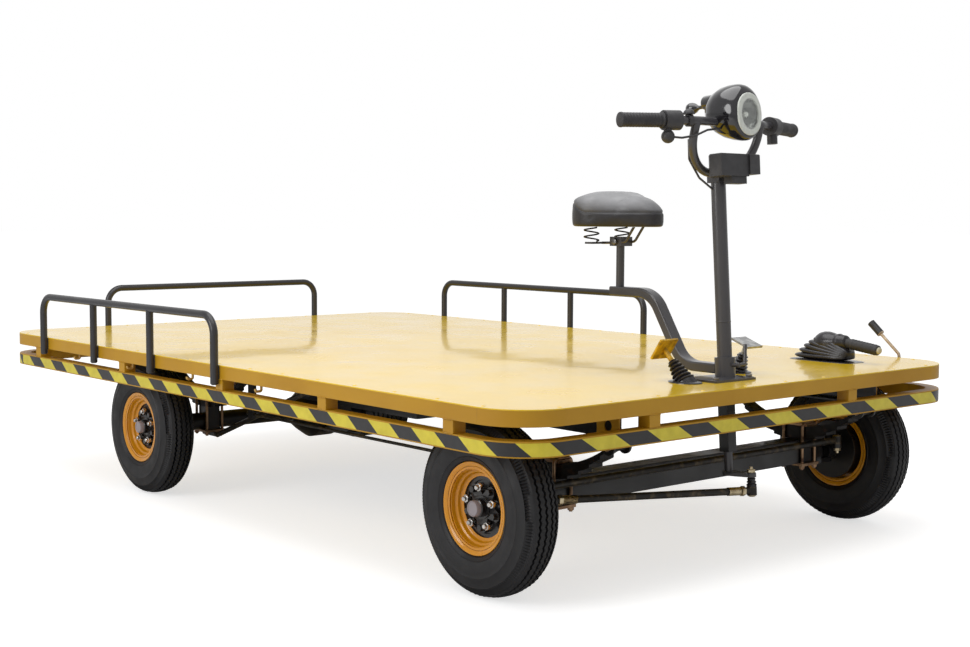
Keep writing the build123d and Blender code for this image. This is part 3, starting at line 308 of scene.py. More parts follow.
def tape_ring(low, high):
    """Band along the straight sides and round the corners of the bumper, with its bars counted as UV."""
    shape = bmesh.new()
    bars = shape.verts.layers.float.new("bars")
    half_x = (bumper_high.x - bumper_low.x) / 2 - DECK_CORNER
    half_y = (bumper_high.y - bumper_low.y) / 2 - DECK_CORNER
    middle = (bumper_low + bumper_high) / 2
    radius = DECK_CORNER + TAPE_THICK
    foot = (middle.x - half_x, middle.y - half_y - radius)
    first = [shape.verts.new((*foot, height)) for height in (low, high)]
    for vertex in first:
        vertex[bars] = TAPE_START
    ring = [shape.edges.new(first)]
    count = TAPE_START
    turn = Matrix.Rotation(pi / 2 / CORNER_STEPS, 3, "Z")
    runs = (
        # heading, length, bar pitch, corner at its end
        ((1, 0), 2 * half_x, 0.1875, (1, -1)),
        ((0, 1), 2 * half_y, 0.2315, (1, 1)),
        ((-1, 0), 2 * half_x, 0.2, (-1, 1)),
        ((0, -1), 2 * half_y, 0.2, (-1, -1)),
    )
    for heading, length, pitch, corner in runs:
        centre = (middle.x + corner[0] * half_x, middle.y + corner[1] * half_y, 0)
        for step in range(CORNER_STEPS + 1):
            fresh, ring = next_ring(shape, ring)
            if step == 0:
                bmesh.ops.translate(shape, verts=fresh, vec=(heading[0] * length, heading[1] * length, 0))
                count += length / pitch
            else:
                bmesh.ops.rotate(shape, verts=fresh, cent=centre, matrix=turn)
                count += radius * pi / 2 / CORNER_STEPS / CORNER_PITCH
            for vertex in fresh:
                vertex[bars] = count
    surface = shape.loops.layers.uv.new("tape")
    for face in shape.faces:
        for corner in face.loops:
            corner[surface].uv = (corner.vert[bars], (corner.vert.co.z - low) / (high - low))
    return shape


add_piece("hazard_tape", tape_ring(bumper_low.z + TAPE_LIP, bumper_high.z - TAPE_LIP),
          tape_finish(), "chassis", "bumper_stripe")


# Rails: round steel tube bent into hoops, with straight posts between, in satin black powder coat.
# The posts are welded to the outer face of the deck edge, and their feet closed with plastic plugs.

def put(shape, part, place):
    """Set a finished part into a larger shape."""
    bmesh.ops.transform(part, matrix=place, verts=part.verts)
    carrier = bpy.data.meshes.new("carrier")
    part.to_mesh(carrier)
    part.free()
    shape.from_mesh(carrier)
    bpy.data.meshes.remove(carrier)


def lathe(shape, section, place, steps=32, closed=False):
    """Section of (radius, height) points turned round the upright axis of a frame."""
    part = bmesh.new()
    ring = [part.verts.new((radius, 0, height)) for radius, height in section]
    pairs = list(zip(ring, ring[1:])) + ([(ring[-1], ring[0])] if closed else [])
    edges = [part.edges.new(pair) for pair in pairs]
    bmesh.ops.spin(part, geom=ring + edges, axis=(0, 0, 1), cent=(0, 0, 0), angle=2 * pi, steps=steps,
                   use_merge=True)
    bmesh.ops.remove_doubles(part, verts=part.verts, dist=1e-6)
    put(shape, part, place)


def moulded(name, light, dark, gloss, skin, coat=0.0):
    """Moulded plastic or rubber with a fine skin."""
    material, tree, shader = new_finish(name, coat=coat)
    tree.links.new(cloudy(tree, 26.0, 5.0, dark, light), shader.inputs["Base Color"])
    shine(tree, shader, 60.0, 4.0, *gloss)
    relief(tree, shader, grain(tree, 600.0, 2.0), skin)
    return material


RAIL_POSTS = (-1.09735, -0.68935, -0.28135, 0.12665)
REAR_POSTS = (-0.5, 0.5)
POST_WELD = 0.0075
WELD_OUT = 0.0016
WELD_MARGIN = 0.002
PLUG = ((0, -0.004), (0.008, -0.0034), (0.0108, -0.001), (0.0108, 0.0005))

charcoal = enamel("charcoal_powder_coat", tone(46, 45, 48), tone(36, 35, 38), tone(70, 68, 68), (0.32, 0.46), 0.3)
plastic = moulded("black_moulded_plastic", tone(68, 67, 69), tone(54, 53, 55), (0.36, 0.52), 0.0001)
finish_nodes(charcoal, "side_rail_right", "side_rail_left", "rear_rail")
rail_welds = bmesh.new()
foot_plugs = bmesh.new()
weld_rise = (edge_low.z + WELD_MARGIN, edge_high.z - WELD_MARGIN)
for name, y in (("side_rail_right", edge_low.y - WELD_OUT), ("side_rail_left", edge_high.y + WELD_OUT)):
    low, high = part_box(name)
    for x in RAIL_POSTS:
        for shift in (-POST_WELD, POST_WELD):
            weld_run(rail_welds, *[(x + shift, y, height) for height in weld_rise])
        lathe(foot_plugs, PLUG, Matrix.Translation((x, (low.y + high.y) / 2, low.z)), 20)
low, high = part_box("rear_rail")
for y in REAR_POSTS:
    for shift in (-POST_WELD, POST_WELD):
        weld_run(rail_welds, *[(edge_low.x - WELD_OUT, y + shift, height) for height in weld_rise])
    lathe(foot_plugs, PLUG, Matrix.Translation(((low.x + high.x) / 2, y, low.z)), 20)
add_piece("rail_weld_beads", rail_welds, charcoal, "chassis", "rail_black")
add_piece("rail_foot_plugs", foot_plugs, plastic, "chassis", "plastic_black")


# Running gear: chassis channels, springs, axles and their brackets. Pressed and forged steel under
# thin black chassis paint, with bare, passivated or rusty steel on the clamps, hooks and rods.

def worn_steel(name, light, dark, rust, rust_share, roughness, metallic=0.7):
    """Bare or thinly painted steel with rust blooming in patches."""
    material, tree, shader = new_finish(name, metallic=metallic)
    body = cloudy(tree, 18.0, 6.0, dark, light)
    bloom = span(tree, grain(tree, 42.0, 8.0), 0.72 - rust_share, 0.8 - rust_share * 0.5)
    tree.links.new(mixed(tree, bloom, body, rust), shader.inputs["Base Color"])
    shine(tree, shader, 60.0, 5.0, *roughness)
    relief(tree, shader, grain(tree, 180.0, 5.0), 0.0003)
    return material


def aimed(origin, direction):
    """Frame at a point with its Z axis along a direction."""
    return Matrix.Translation(origin) @ Vector(direction).to_track_quat("Z", "Y").to_matrix().to_4x4()


def hex_head(shape, place, radius, height):
    """Bolt head or nut that stands on a frame's XY plane."""
    part = bmesh.new()
    bmesh.ops.create_cone(part, cap_ends=True, segments=6, radius1=radius, radius2=radius, depth=height,
                          matrix=Matrix.Translation((0, 0, height / 2)))
    bmesh.ops.bevel(part, geom=list(part.edges), offset=radius * 0.1, segments=2, profile=0.5,
                    affect="EDGES", material=-1)
    put(shape, part, place)


EYE_REACH = 0.235
EYE_HEIGHT = 0.396
CHEEK = 0.032
SPRING_LINE = 0.53
PIN_NUT = (0.0115, 0.008)

chassis_black = enamel("chassis_black_paint", tone(22, 20, 19), tone(15, 14, 14), tone(58, 50, 44), (0.28, 0.5), 0.2)
spring_steel = worn_steel(
    "spring_steel", tone(32, 29, 28), tone(18, 17, 17), tone(74, 48, 36), 0.14, (0.4, 0.6), 0.4)
copper_steel = worn_steel(
    "passivated_clamp_steel", tone(186, 154, 122), tone(128, 98, 76), tone(70, 46, 32), 0.18, (0.3, 0.5), 0.8)
link_black = worn_steel(
    "link_rod_paint", tone(44, 41, 35), tone(24, 22, 20), tone(88, 76, 56), 0.2, (0.3, 0.5), 0.35)
hook_steel = worn_steel(
    "rope_hook_paint", tone(222, 186, 110), tone(200, 160, 84), tone(140, 98, 46), 0.12, (0.35, 0.55), 0.1)
finish_nodes(
    chassis_black, "cross_members", "chassis_channels", "spring_hangers", "front_axle", "rear_axle", "drive_motor",
    "battery_box", "brake_lugs", "knuckle_right", "knuckle_left", "steering_housing")
finish_nodes(spring_steel, "leaf_springs")
finish_nodes(copper_steel, "spring_clamps")
finish_nodes(link_black, "tie_rod", "drag_link", "radius_rods", "brake_rod")
finish_nodes(hook_steel, "rope_hooks")
pin_nuts = bmesh.new()
for end in ("front", "rear"):
    low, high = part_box(f"hub_{end}_right")
    axle = (low.x + high.x) / 2
    for x in (axle - EYE_REACH, axle + EYE_REACH):
        for y in (-SPRING_LINE, SPRING_LINE):
            for facing in (-1, 1):
                hex_head(pin_nuts, aimed((x, y + facing * CHEEK, EYE_HEIGHT), (0, facing, 0)), *PIN_NUT)
add_piece("spring_pin_nuts", pin_nuts, copper_steel, "chassis", "clamp_steel")


# Tyres: cross-ply rubber tyres with a smooth sidewall, combed shoulders and zigzag ribs moulded
# round the tread. Each is pressed on its rim.

TREAD_STEPS = 320
TREAD_WAVE = (0.0, 0.0022, 0.0, -0.0022)
COMB_DEPTH, COMB_INWARD = 0.0042, 0.5
COMB_ZONE = (0.2035, 0.2222)
GROOVES = (0.009, 0.0265)
GROOVE_HALF = 0.0034
GROOVE_FLOOR = 0.0022
GROOVE_DEEP = 0.007
GROOVE_LIP = 0.0006
RIB_MARGIN = 0.001
SHOULDER = (0.034, 0.0385)
CROWN_CENTRE, CROWN_ARC = 0.1553, 0.0782
WALL_CENTRE, WALL_INSET, WALL_ARC = 0.1638, 0.0309, 0.09206
WALL_RADII = (0.2222, 0.217, 0.2105, 0.2035, 0.2025, 0.201, 0.19, 0.1785, 0.1775, 0.1765, 0.166, 0.154,
              0.143, 0.1355, 0.1345, 0.1335)
WALL_RIDGES = {0.2025: 0.001, 0.1775: 0.0008, 0.1345: 0.0012}
BEAD = ((0.126, 0.0528), (0.1235, 0.0505), (0.121, 0.0445), (0.1018, 0.044))


def tyre_rubber():
    """Black rubber, dusty grey on the sidewall, with a fine mould grain."""
    material, tree, shader = new_finish("tyre_rubber")
    body = tones(tree, grain(tree, 7.0, 6.0), (0.3, tone(16, 15, 17)), (0.72, tone(27, 26, 29)))
    dust = span(tree, grain(tree, 70.0, 6.0), 0.6, 0.85, 0.0, 0.4)
    tree.links.new(mixed(tree, dust, body, tone(46, 44, 44)), shader.inputs["Base Color"])
    shine(tree, shader, 22.0, 4.0, 0.46, 0.62)
    relief(tree, shader, grain(tree, 520.0, 3.0), 0.00018)
    return material


def tyre_section():
    """Half the tyre's outline from the tread's middle to the bead, as (radius, across)."""
    points = []
    for groove in GROOVES:
        top = CROWN_CENTRE + sqrt(CROWN_ARC ** 2 - groove ** 2)
        points += [(top, groove - GROOVE_HALF), (top - GROOVE_DEEP, groove - GROOVE_FLOOR),
                   (top - GROOVE_DEEP, groove + GROOVE_FLOOR), (top - GROOVE_LIP, groove + GROOVE_HALF)]
    for across in SHOULDER:
        points.append((CROWN_CENTRE + sqrt(CROWN_ARC ** 2 - across ** 2), across))
    for radius in WALL_RADII:
        across = sqrt(WALL_ARC ** 2 - (radius - WALL_CENTRE) ** 2) - WALL_INSET
        points.append((radius, across + WALL_RIDGES.get(radius, 0.0)))
    return points + list(BEAD)


def tyre_shape(place):
    """Turned tyre with its ribs waved and its shoulders combed, set in a wheel's frame."""
    shape = bmesh.new()
    half = tyre_section()
    mirrored = [(radius, -across) for radius, across in reversed(half)]
    lathe(shape, half + mirrored, Matrix.Identity(4), TREAD_STEPS, closed=True)
    ribbed = GROOVES[-1] + GROOVE_HALF + RIB_MARGIN
    for vertex in shape.verts:
        step = round(atan2(vertex.co.y, vertex.co.x) / (2 * pi) * TREAD_STEPS) % TREAD_STEPS
        radius = hypot(vertex.co.x, vertex.co.y)
        if abs(vertex.co.z) < ribbed and radius > COMB_ZONE[1]:
            vertex.co.z += TREAD_WAVE[step % len(TREAD_WAVE)]
        elif COMB_ZONE[0] < radius < COMB_ZONE[1] and step % 2:
            share = 1 - COMB_DEPTH / radius
            vertex.co.x *= share
            vertex.co.y *= share
            vertex.co.z -= COMB_DEPTH * COMB_INWARD * (1 if vertex.co.z > 0 else -1)
    bmesh.ops.transform(shape, matrix=place, verts=shape.verts)
    return shape


WHEELS = [(end, side, f"wheel_{end}_{side}") for end in ("front", "rear") for side in ("right", "left")]


def wheel_place(end, side):
    """Frame at a wheel's middle with its Z axis out of the wheel's outer face."""
    low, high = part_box(f"tyre_{end}_{side}")
    outward = pi / 2 if side == "right" else -pi / 2
    return Matrix.Translation((low + high) / 2) @ Matrix.Rotation(outward, 4, "X")


rubber = tyre_rubber()
for end, side, body in WHEELS:
    piece = add_piece(f"tread_tyre_{end}_{side}", tyre_shape(wheel_place(end, side)), rubber, body,
                      "tyre_rubber", 50)
    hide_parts(f"tyre_{end}_{side}")


# Rims: pressed steel rims with a rolled flange and stepped well, in orange enamel, each with a
# rubber valve. They are bolted to the hub by their inner lip.

RIM_SECTION = (
    (0.1165, 0.0500), (0.1200, 0.0500), (0.1212, 0.0480), (0.1200, 0.0452), (0.1150, 0.0443), (0.1015, 0.0443),
    (0.1015, -0.0443), (0.1150, -0.0443), (0.1200, -0.0452), (0.1212, -0.0480), (0.1200, -0.0500),
    (0.1165, -0.0500), (0.1080, -0.0440), (0.0985, -0.0400), (0.0975, 0.0090), (0.0805, 0.0104),
    (0.0795, 0.0140), (0.0870, 0.0150), (0.0905, 0.0185), (0.0905, 0.0240), (0.0925, 0.0265), (0.0965, 0.0270),
    (0.0985, 0.0300), (0.0985, 0.0380), (0.1000, 0.0405), (0.1045, 0.0410), (0.1075, 0.0440))
VALVE_AT = (0.0935, radians(12))
VALVE = ((0.0, 0.012), (0.0062, 0.012), (0.0058, 0.024), (0.0036, 0.030), (0.0034, 0.040), (0.0028, 0.042),
         (0, 0.042))


def turned(name, section, place, steps, *finish):
    """Piece turned round the upright axis of a frame."""
    shape = bmesh.new()
    lathe(shape, section, place, steps)
    return add_piece(name, shape, *finish)


rim_orange = enamel(
    "rim_orange_enamel", tone(230, 158, 22), tone(214, 140, 14), tone(158, 90, 18), (0.2, 0.36), 0.5, 0.35)
for end, side, body in WHEELS:
    place = wheel_place(end, side)
    shape = bmesh.new()
    lathe(shape, RIM_SECTION, place, 96, closed=True)
    piece = add_piece(f"pressed_rim_{end}_{side}", shape, rim_orange, body, "rim_orange", 50)
    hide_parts(f"rim_{end}_{side}")
    reach, angle = VALVE_AT
    hole = place @ Matrix.Translation((reach * cos(angle), reach * sin(angle), 0))
    turned(f"valve_{end}_{side}", VALVE, hole, 16, plastic, body, "hub_black")


# Hubs: cast drums with a five-armed face in black paint, bright wheel nuts on the arms,
# and a pressed grease cap in the middle.

NUT_CIRCLE = 0.053
NUT_COUNT = 5
NUT = (0.0112, 0.016)
NUT_FROM = 0.018
STUD_TIP = ((0.0066, 0.0), (0.0066, 0.006), (0.0052, 0.0075), (0, 0.0075))
CAP = ((0.0208, 0.036), (0.0208, 0.0512), (0.0194, 0.0534), (0.0170, 0.0534), (0.0163, 0.0522), (0, 0.0529))


def bright_metal(name, light, dark, roughness):
    """Plated steel with faint smears."""
    material, tree, shader = new_finish(name, metallic=1.0)
    tree.links.new(cloudy(tree, 60.0, 4.0, dark, light), shader.inputs["Base Color"])
    shine(tree, shader, 130.0, 4.0, *roughness)
    relief(tree, shader, grain(tree, 300.0, 3.0), 0.00005)
    return material


hub_black = enamel("hub_black_paint", tone(34, 30, 30), tone(22, 20, 20), tone(70, 62, 58), (0.24, 0.4), 0.4)
nut_plate = bright_metal("bright_zinc", tone(230, 228, 224), tone(176, 172, 168), (0.14, 0.3))
cap_grey = enamel("grease_cap_grey", tone(164, 155, 158), tone(144, 136, 140), tone(176, 168, 168), (0.4, 0.6), 0.1)
for end, side, body in WHEELS:
    finish_nodes(hub_black, f"hub_{end}_{side}")
    place = wheel_place(end, side)
    nuts = bmesh.new()
    for number in range(NUT_COUNT):
        angle = 2 * pi * number / NUT_COUNT
        at = Vector((NUT_CIRCLE * sin(angle), 0, NUT_CIRCLE * cos(angle)))
        flat = place.to_3x3().inverted() @ (Matrix.Rotation(0 if side == "left" else pi, 3, "Z") @ at)
        seat = place @ Matrix.Translation((flat.x, flat.y, NUT_FROM))
        hex_head(nuts, seat, *NUT)
        lathe(nuts, STUD_TIP, seat @ Matrix.Translation((0, 0, NUT[1])), 16)
    add_piece(f"wheel_nuts_{end}_{side}", nuts, nut_plate, body, "hub_black")
    turned(f"grease_cap_{end}_{side}", CAP, place, 40, cap_grey, body, "hub_black")


# Steering: the column tube turns in a sleeve on the base plate and carries the handlebar. Tube and
# plate are steel in charcoal powder coat, bolted through the deck sheet.

RAKE = radians(4)
FOOT_PLATE = 0.006
FOOT_BOLTS = [(x, y) for x in (-0.046, 0.046) for y in (-0.096, 0.046)]
FOOT_BOLT = (0.0095, 0.007)
WASHER_THICK = 0.0018
WASHER = ((0.0145, 0), (0.0145, 0.0012), (0.013, WASHER_THICK), (0, WASHER_THICK))
SEAM_RING = ((0.0206, 0.1595), (0.0218, 0.1605), (0.0218, 0.1635), (0.0206, 0.1645))


def raked(name):
    """Frame on a joint of the steering, upright along its raked axis."""
    joint = next(joint for joint in frame["joints"] if joint["name"] == name)
    return Matrix.Translation(joint["pos_m"]) @ Matrix.Rotation(-RAKE, 4, "Y")


COLUMN = raked("steer")
zinc_bolts = bright_metal("dull_zinc", tone(150, 148, 146), tone(112, 110, 110), (0.28, 0.45))
# The column, bar and seat arm take a lighter copy of the rails' black powder coat: painted light, standing in for
# the brighter light on them.
lit_column_coat = enamel("column_powder_coat_lit", tone(72, 70, 73), tone(58, 57, 60), tone(90, 88, 88), (0.26, 0.4), 0.5)
finish_nodes(lit_column_coat, "steering_foot", "steering_post", "handlebar", "seat_arm", "seat_post")
bolts = bmesh.new()
for x, y in FOOT_BOLTS:
    at = Matrix.Translation((COLUMN.translation.x + x, y, deck_top + FOOT_PLATE))
    lathe(bolts, WASHER, at, 24)
    hex_head(bolts, at @ Matrix.Translation((0, 0, WASHER_THICK)), *FOOT_BOLT)
add_piece("foot_plate_bolts", bolts, zinc_bolts, "chassis", "clamp_steel")
turned("column_seam_ring", SEAM_RING, COLUMN, 40, lit_column_coat, "steering", "rail_black")


# Link joints: ball joints at the pitman and steering arms, closed by a rubber boot and pressed caps,
# with castle nuts on the studs and lock nuts on the drag link in yellow passivated zinc.

ARM_REACH = 0.08
KING_RIGHT, KING_LEFT = raked("knuckle_right_turn"), raked("knuckle_left_turn")
PITMAN_BOOT = ((0.0064, -0.2978), (0.0132, -0.2974), (0.0146, -0.2935), (0.0108, -0.2895), (0.0136, -0.2855),
               (0.0102, -0.2812), (0.0122, -0.2770), (0.0088, -0.2726), (0.0064, -0.2722))
SOCKET_CAP = ((0.0130, 0.0), (0.0120, 0.0022), (0.0070, 0.0048), (0.0, 0.0054))
PITMAN_SOCKET_LOW, PITMAN_TOP = -0.322, -0.260
TIE_SOCKET_TOP, DRAG_SOCKET_LOW, ARM_LOW = 0.0523, -0.0083, 0.016
SOCKET_HALF = 0.012
CASTLE = (0.0118, 0.010)
STUD_END = ((0.0052, 0.0), (0.0052, 0.006), (0.0042, 0.0072), (0, 0.0072))
LOCK_NUT = (0.0148, 0.012)
LOCK_AT = 0.026
THREAD = [(0.0100 + 0.0018 * (number % 2), 0.040 + 0.0018 * number) for number in range(24)]


def eye(base, height):
    """Frame on the stud of a steering arm."""
    return base @ Matrix.Translation((ARM_REACH, 0, height))


def rod_end(shape, start, end):
    """Lock nut and bare thread on a rod, seen from one of its eyes."""
    along = aimed(start, end - start)
    hex_head(shape, along @ Matrix.Translation((0, 0, LOCK_AT)), *LOCK_NUT)
    lathe(shape, THREAD, along, 24)


joint_zinc = bright_metal("yellow_zinc", tone(226, 212, 180), tone(176, 158, 124), (0.25, 0.4))
boot_rubber = moulded("boot_rubber", tone(40, 38, 42), tone(28, 26, 30), (0.22, 0.36), 0.0002, 0.3)
turned("pitman_ball_boot", PITMAN_BOOT, eye(COLUMN, 0), 28, boot_rubber, "drag_link", "boot_rubber")
upside = Matrix.Rotation(pi, 4, "X")
drag_start = eye(KING_RIGHT, DRAG_SOCKET_LOW + SOCKET_HALF).translation
drag_end = eye(COLUMN, PITMAN_SOCKET_LOW + SOCKET_HALF).translation
drag_fittings = bmesh.new()
lathe(drag_fittings, SOCKET_CAP, eye(COLUMN, PITMAN_SOCKET_LOW) @ upside, 28)
lathe(drag_fittings, SOCKET_CAP, eye(KING_RIGHT, DRAG_SOCKET_LOW) @ upside, 28)
rod_end(drag_fittings, drag_start, drag_end)
rod_end(drag_fittings, drag_end, drag_start)
add_piece("drag_link_fittings", drag_fittings, joint_zinc, "drag_link", "clamp_steel")
tie_fittings = bmesh.new()
for base in (KING_RIGHT, KING_LEFT):
    lathe(tie_fittings, SOCKET_CAP, eye(base, TIE_SOCKET_TOP), 28)
add_piece("tie_rod_fittings", tie_fittings, joint_zinc, "tie_rod", "clamp_steel")
for name, body, place in (("pitman_castle_nut", "steering", eye(COLUMN, PITMAN_TOP)),
                          ("steering_arm_castle_nut", "knuckle_left", eye(KING_LEFT, ARM_LOW) @ upside)):
    nut = bmesh.new()
    hex_head(nut, place, *CASTLE)
    lathe(nut, STUD_END, place @ Matrix.Translation((0, 0, CASTLE[1])), 16)
    add_piece(name, nut, joint_zinc, body, "clamp_steel")


# Handlebar fittings: black moulded throttle, switch pods and control box, and ridged rubber grips
# pushed over the swept ends of the bar.

BAR_END = Vector((-0.019, 0.365, 0.716))
BAR_KNEE = Vector((0.048, 0.136, 0.716))
GRIP_LENGTH = 0.131
GRIP_RIDGES = 12
GRIP_START, GRIP_PLAIN = 0.008, 0.018
GRIP_CAP = ((0, -0.004), (0.0165, -0.004), (0.0202, -0.0022), (0.0208, 0.0015), (0.0200, 0.005), (0.0186, 0.006))
GRIP_RIDGE = ((0.0188, 0.0), (0.0197, 0.2), (0.0197, 0.6), (0.0188, 0.8))
GRIP_FLANGE = ((0.0190, -0.008), (0.0218, -0.006), (0.0222, -0.003), (0.0210, 0.0), (0.0124, 0.0))


def ridges(start, pitch, count, outline):
    """Ridge drawn as (radius, share of the pitch), repeated along an axis."""
    return [(radius, start + number * pitch + share * pitch) for number in range(count) for radius, share in outline]


def grip_section():
    """Grip with a flange at each end and ridges between, as (radius, distance from the bar's end)."""
    pitch = (GRIP_LENGTH - GRIP_PLAIN) / GRIP_RIDGES
    flange = [(radius, GRIP_LENGTH + beyond) for radius, beyond in GRIP_FLANGE]
    return [*GRIP_CAP, *ridges(GRIP_START, pitch, GRIP_RIDGES, GRIP_RIDGE), *flange]


grip_rubber = moulded("grip_rubber", tone(58, 57, 59), tone(44, 43, 45), (0.44, 0.6), 0.0002)
finish_nodes(plastic, "bar_controls", "control_box", "control_cables")
bar_grips = bmesh.new()
for side in (-1, 1):
    flip = Vector((1, side, 1))
    end = COLUMN @ (BAR_END * flip)
    knee = COLUMN @ (BAR_KNEE * flip)
    lathe(bar_grips, grip_section(), aimed(end, knee - end), 40)
piece = add_piece("ridged_grips", bar_grips, grip_rubber, "steering", "grip_rubber")
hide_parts("grips")


# Headlight: a helmet-shaped shell in gloss black plastic over the bar with the key in a boss behind
# it, a bright dish with a bulb in its pocket, and an oval lens, clear in the middle and frosted round
# its rim.

LENS_MIDDLE = Vector((0.114, 0.0, 0.732))
LENS_HALF = (0.05, 0.059)
FROST_FROM = (0.66, 0.76)
LAMP_AXES = Matrix(((0, 0, 1, 0), (1, 0, 0, 0), (0, 1, 0, 0), (0, 0, 0, 1)))
SHELL = (
    # distance before the lens's seat, half width, half height, rise of the middle
    (-0.1275, 0.008, 0.007, 0.015), (-0.124, 0.028, 0.022, 0.015), (-0.114, 0.047, 0.043, 0.015),
    (-0.096, 0.060, 0.0605, 0.0145), (-0.074, 0.0655, 0.071, 0.013), (-0.049, 0.067, 0.0765, 0.0105),
    (-0.024, 0.0655, 0.0785, 0.0075), (-0.010, 0.0628, 0.0762, 0.005), (-0.002, 0.0595, 0.0718, 0.003),
    (0.003, 0.0560, 0.0662, 0.001), (0.005, 0.0530, 0.0622, 0.0), (0.005, 0.0503, 0.0593, 0.0),
    (0.0, 0.0503, 0.0593, 0.0), (0.0, 0.0448, 0.0538, 0.0), (-0.0355, 0.0448, 0.0538, 0.0))
DISH = (
    (0.0, 0.0440, 0.0530, 0.0), (-0.004, 0.0427, 0.0514, 0.0), (-0.012, 0.0387, 0.0466, 0.0),
    (-0.020, 0.0326, 0.0392, 0.0), (-0.027, 0.0246, 0.0297, 0.0), (-0.032, 0.0158, 0.0191, 0.0),
    (-0.0335, 0.0079, 0.0095, 0.0))
KEY_BOSS = ((0.021, -0.03), (0.021, 0.033), (0.0185, 0.038), (0.0, 0.038))
KEY = ((0.0062, 0.036), (0.0052, 0.056), (0.0070, 0.064), (0.0128, 0.072), (0.0165, 0.082), (0.0172, 0.090),
       (0.0150, 0.098), (0.0090, 0.1035), (0.0, 0.105))
KEY_HEIGHTS = (0.780, 0.771)
BULB = ((0.0105, 0.0), (0.0105, 0.006), (0.0075, 0.0075), (0.0080, 0.011), (0.0100, 0.016), (0.0098, 0.021),
        (0.0070, 0.0255), (0.0030, 0.0275), (0, 0.0278))
BULB_FROM = -0.033


def ovals(stations, place):
    """Skin over ovals along an axis, closed by a flat at its last one."""
    shape = bmesh.new()
    bmesh.ops.create_circle(shape, cap_ends=True, segments=72, radius=1.0)
    verts, ring = list(shape.verts), list(shape.edges)
    wide, tall, rise = 1.0, 1.0, 0.0
    for number, (distance, half_width, half_height, middle) in enumerate(stations):
        if number:
            verts, ring = next_ring(shape, ring)
        for vertex in verts:
            vertex.co.x *= half_width / wide
            vertex.co.y = middle + (vertex.co.y - rise) * half_height / tall
            vertex.co.z = distance
        wide, tall, rise = half_width, half_height, middle
    bmesh.ops.contextual_create(shape, geom=ring)
    bmesh.ops.transform(shape, matrix=place, verts=shape.verts)
    return shape


def lens_finish():
    """Clear moulding whose rim is frosted and fluted."""
    material, tree, shader = new_finish("headlight_lens_moulding")
    oval = tree.nodes.new("ShaderNodeMapping")
    oval.vector_type = "TEXTURE"
    oval.inputs["Location"].default_value = COLUMN @ LENS_MIDDLE
    oval.inputs["Rotation"].default_value = (0, -RAKE, 0)
    oval.inputs["Scale"].default_value = (1, *LENS_HALF)
    tree.links.new(over_piece(tree), oval.inputs["Vector"])
    face = worked(tree, "VectorMath", "MULTIPLY", oval.outputs["Vector"], (0, 1, 1))["Vector"]
    reach = worked(tree, "VectorMath", "LENGTH", face)["Value"]
    rim = span(tree, reach, *FROST_FROM)
    clear = span(tree, reach, *FROST_FROM, 0.97, 0.12)
    pale = cloudy(tree, 90.0, 3.0, tone(222, 226, 217), tone(234, 237, 229))
    tree.links.new(mixed(tree, rim, tone(246, 248, 246), pale), shader.inputs["Base Color"])
    tree.links.new(clear, shader.inputs["Transmission Weight"])
    tree.links.new(span(tree, rim, 0.0, 1.0, 0.03, 0.22), shader.inputs["Roughness"])
    shader.inputs["IOR"].default_value = 1.45
    flutes = tree.nodes.new("ShaderNodeTexWave")
    flutes.bands_direction = "Y"
    flutes.inputs["Scale"].default_value = 60.0
    tree.links.new(over_piece(tree), flutes.inputs["Vector"])
    relief(tree, shader, worked(tree, "Math", "MULTIPLY", rim, flutes.outputs["Color"])["Value"], 0.0004)
    return material


lamp_black = moulded("gloss_black_lamp", tone(30, 29, 33), tone(20, 19, 23), (0.08, 0.18), 0.00001, 1.0)
dish_chrome = bright_metal("dish_chrome", tone(112, 113, 111), tone(78, 79, 78), (0.12, 0.22))
bulb_glass = moulded("bulb_glass", tone(250, 250, 244), tone(236, 236, 228), (0.05, 0.12), 0.00002, 1.0)
finish_nodes(lens_finish(), "headlight_lens")
lens_plane = COLUMN @ Matrix.Translation(LENS_MIDDLE) @ LAMP_AXES
lamp_shell = ovals(SHELL, lens_plane)
for section, height in ((KEY_BOSS, KEY_HEIGHTS[0]), (KEY, KEY_HEIGHTS[1])):
    lathe(lamp_shell, section, COLUMN @ aimed((0, 0, height), (-1, 0, 0)), 32)
piece = add_piece("lamp_shell", lamp_shell, lamp_black, "steering", "plastic_black", 50)
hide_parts("headlight_housing")
dish = ovals(DISH[::-1], lens_plane)
bmesh.ops.delete(dish, geom=[max(dish.faces, key=lambda face: face.calc_area())], context="FACES_ONLY")
add_piece("headlight_dish", dish, dish_chrome, "steering", "lens_clear", 60)
pocket = lens_plane @ Matrix.Translation((0, 0, BULB_FROM))
turned("headlight_bulb", BULB, pocket, 24, bulb_glass, "steering", "lens_clear", 60)


# Seat: a rectangular tube arm bent up from the steering foot, a round post, and a broad saddle with
# a vinyl cover sewn from a top and a side panel over foam, on coil springs.

SADDLE_CIRCLES = (((0.87965, 0.065), 0.077), ((0.87965, -0.065), 0.077), ((1.02265, 0.0), 0.047))
SADDLE_MIDDLE = (0.925, 0.0)
SADDLE_FOOT = 0.9465
SADDLE_SEAM = 0.989
SEAM_REAR = (0.905, 0.085, 0.03)
SADDLE_WALL = ((0.955, 0.0), (0.985, 0.004), (1.0, 0.014), (1.0, 0.042))
SADDLE_DOME = (0.985, 0.95, 0.89, 0.80, 0.68, 0.53, 0.36, 0.18, 0.06)
CREST = ((0.80, 1.028), (0.835, 1.044), (0.87, 1.051), (0.905, 1.050), (0.945, 1.039), (0.98, 1.0335),
         (1.01, 1.034), (1.04, 1.024), (1.0727, 1.002))
LONG_EDGE, LONG_CUTS = 0.02, 20
VOXEL = 0.005
PAN_HEIGHT = 0.006
COVER_PRESSURE, COVER_FRAMES = 4.0, 20
SWELL = 0.005
STITCH_HALF, STITCH_DEEP = 0.0036, 0.0026
SHEEN_RISE, SHEEN_LEAST = 0.045, 0.12
COIL_AT = (0.85465, 0.066, 0.9)
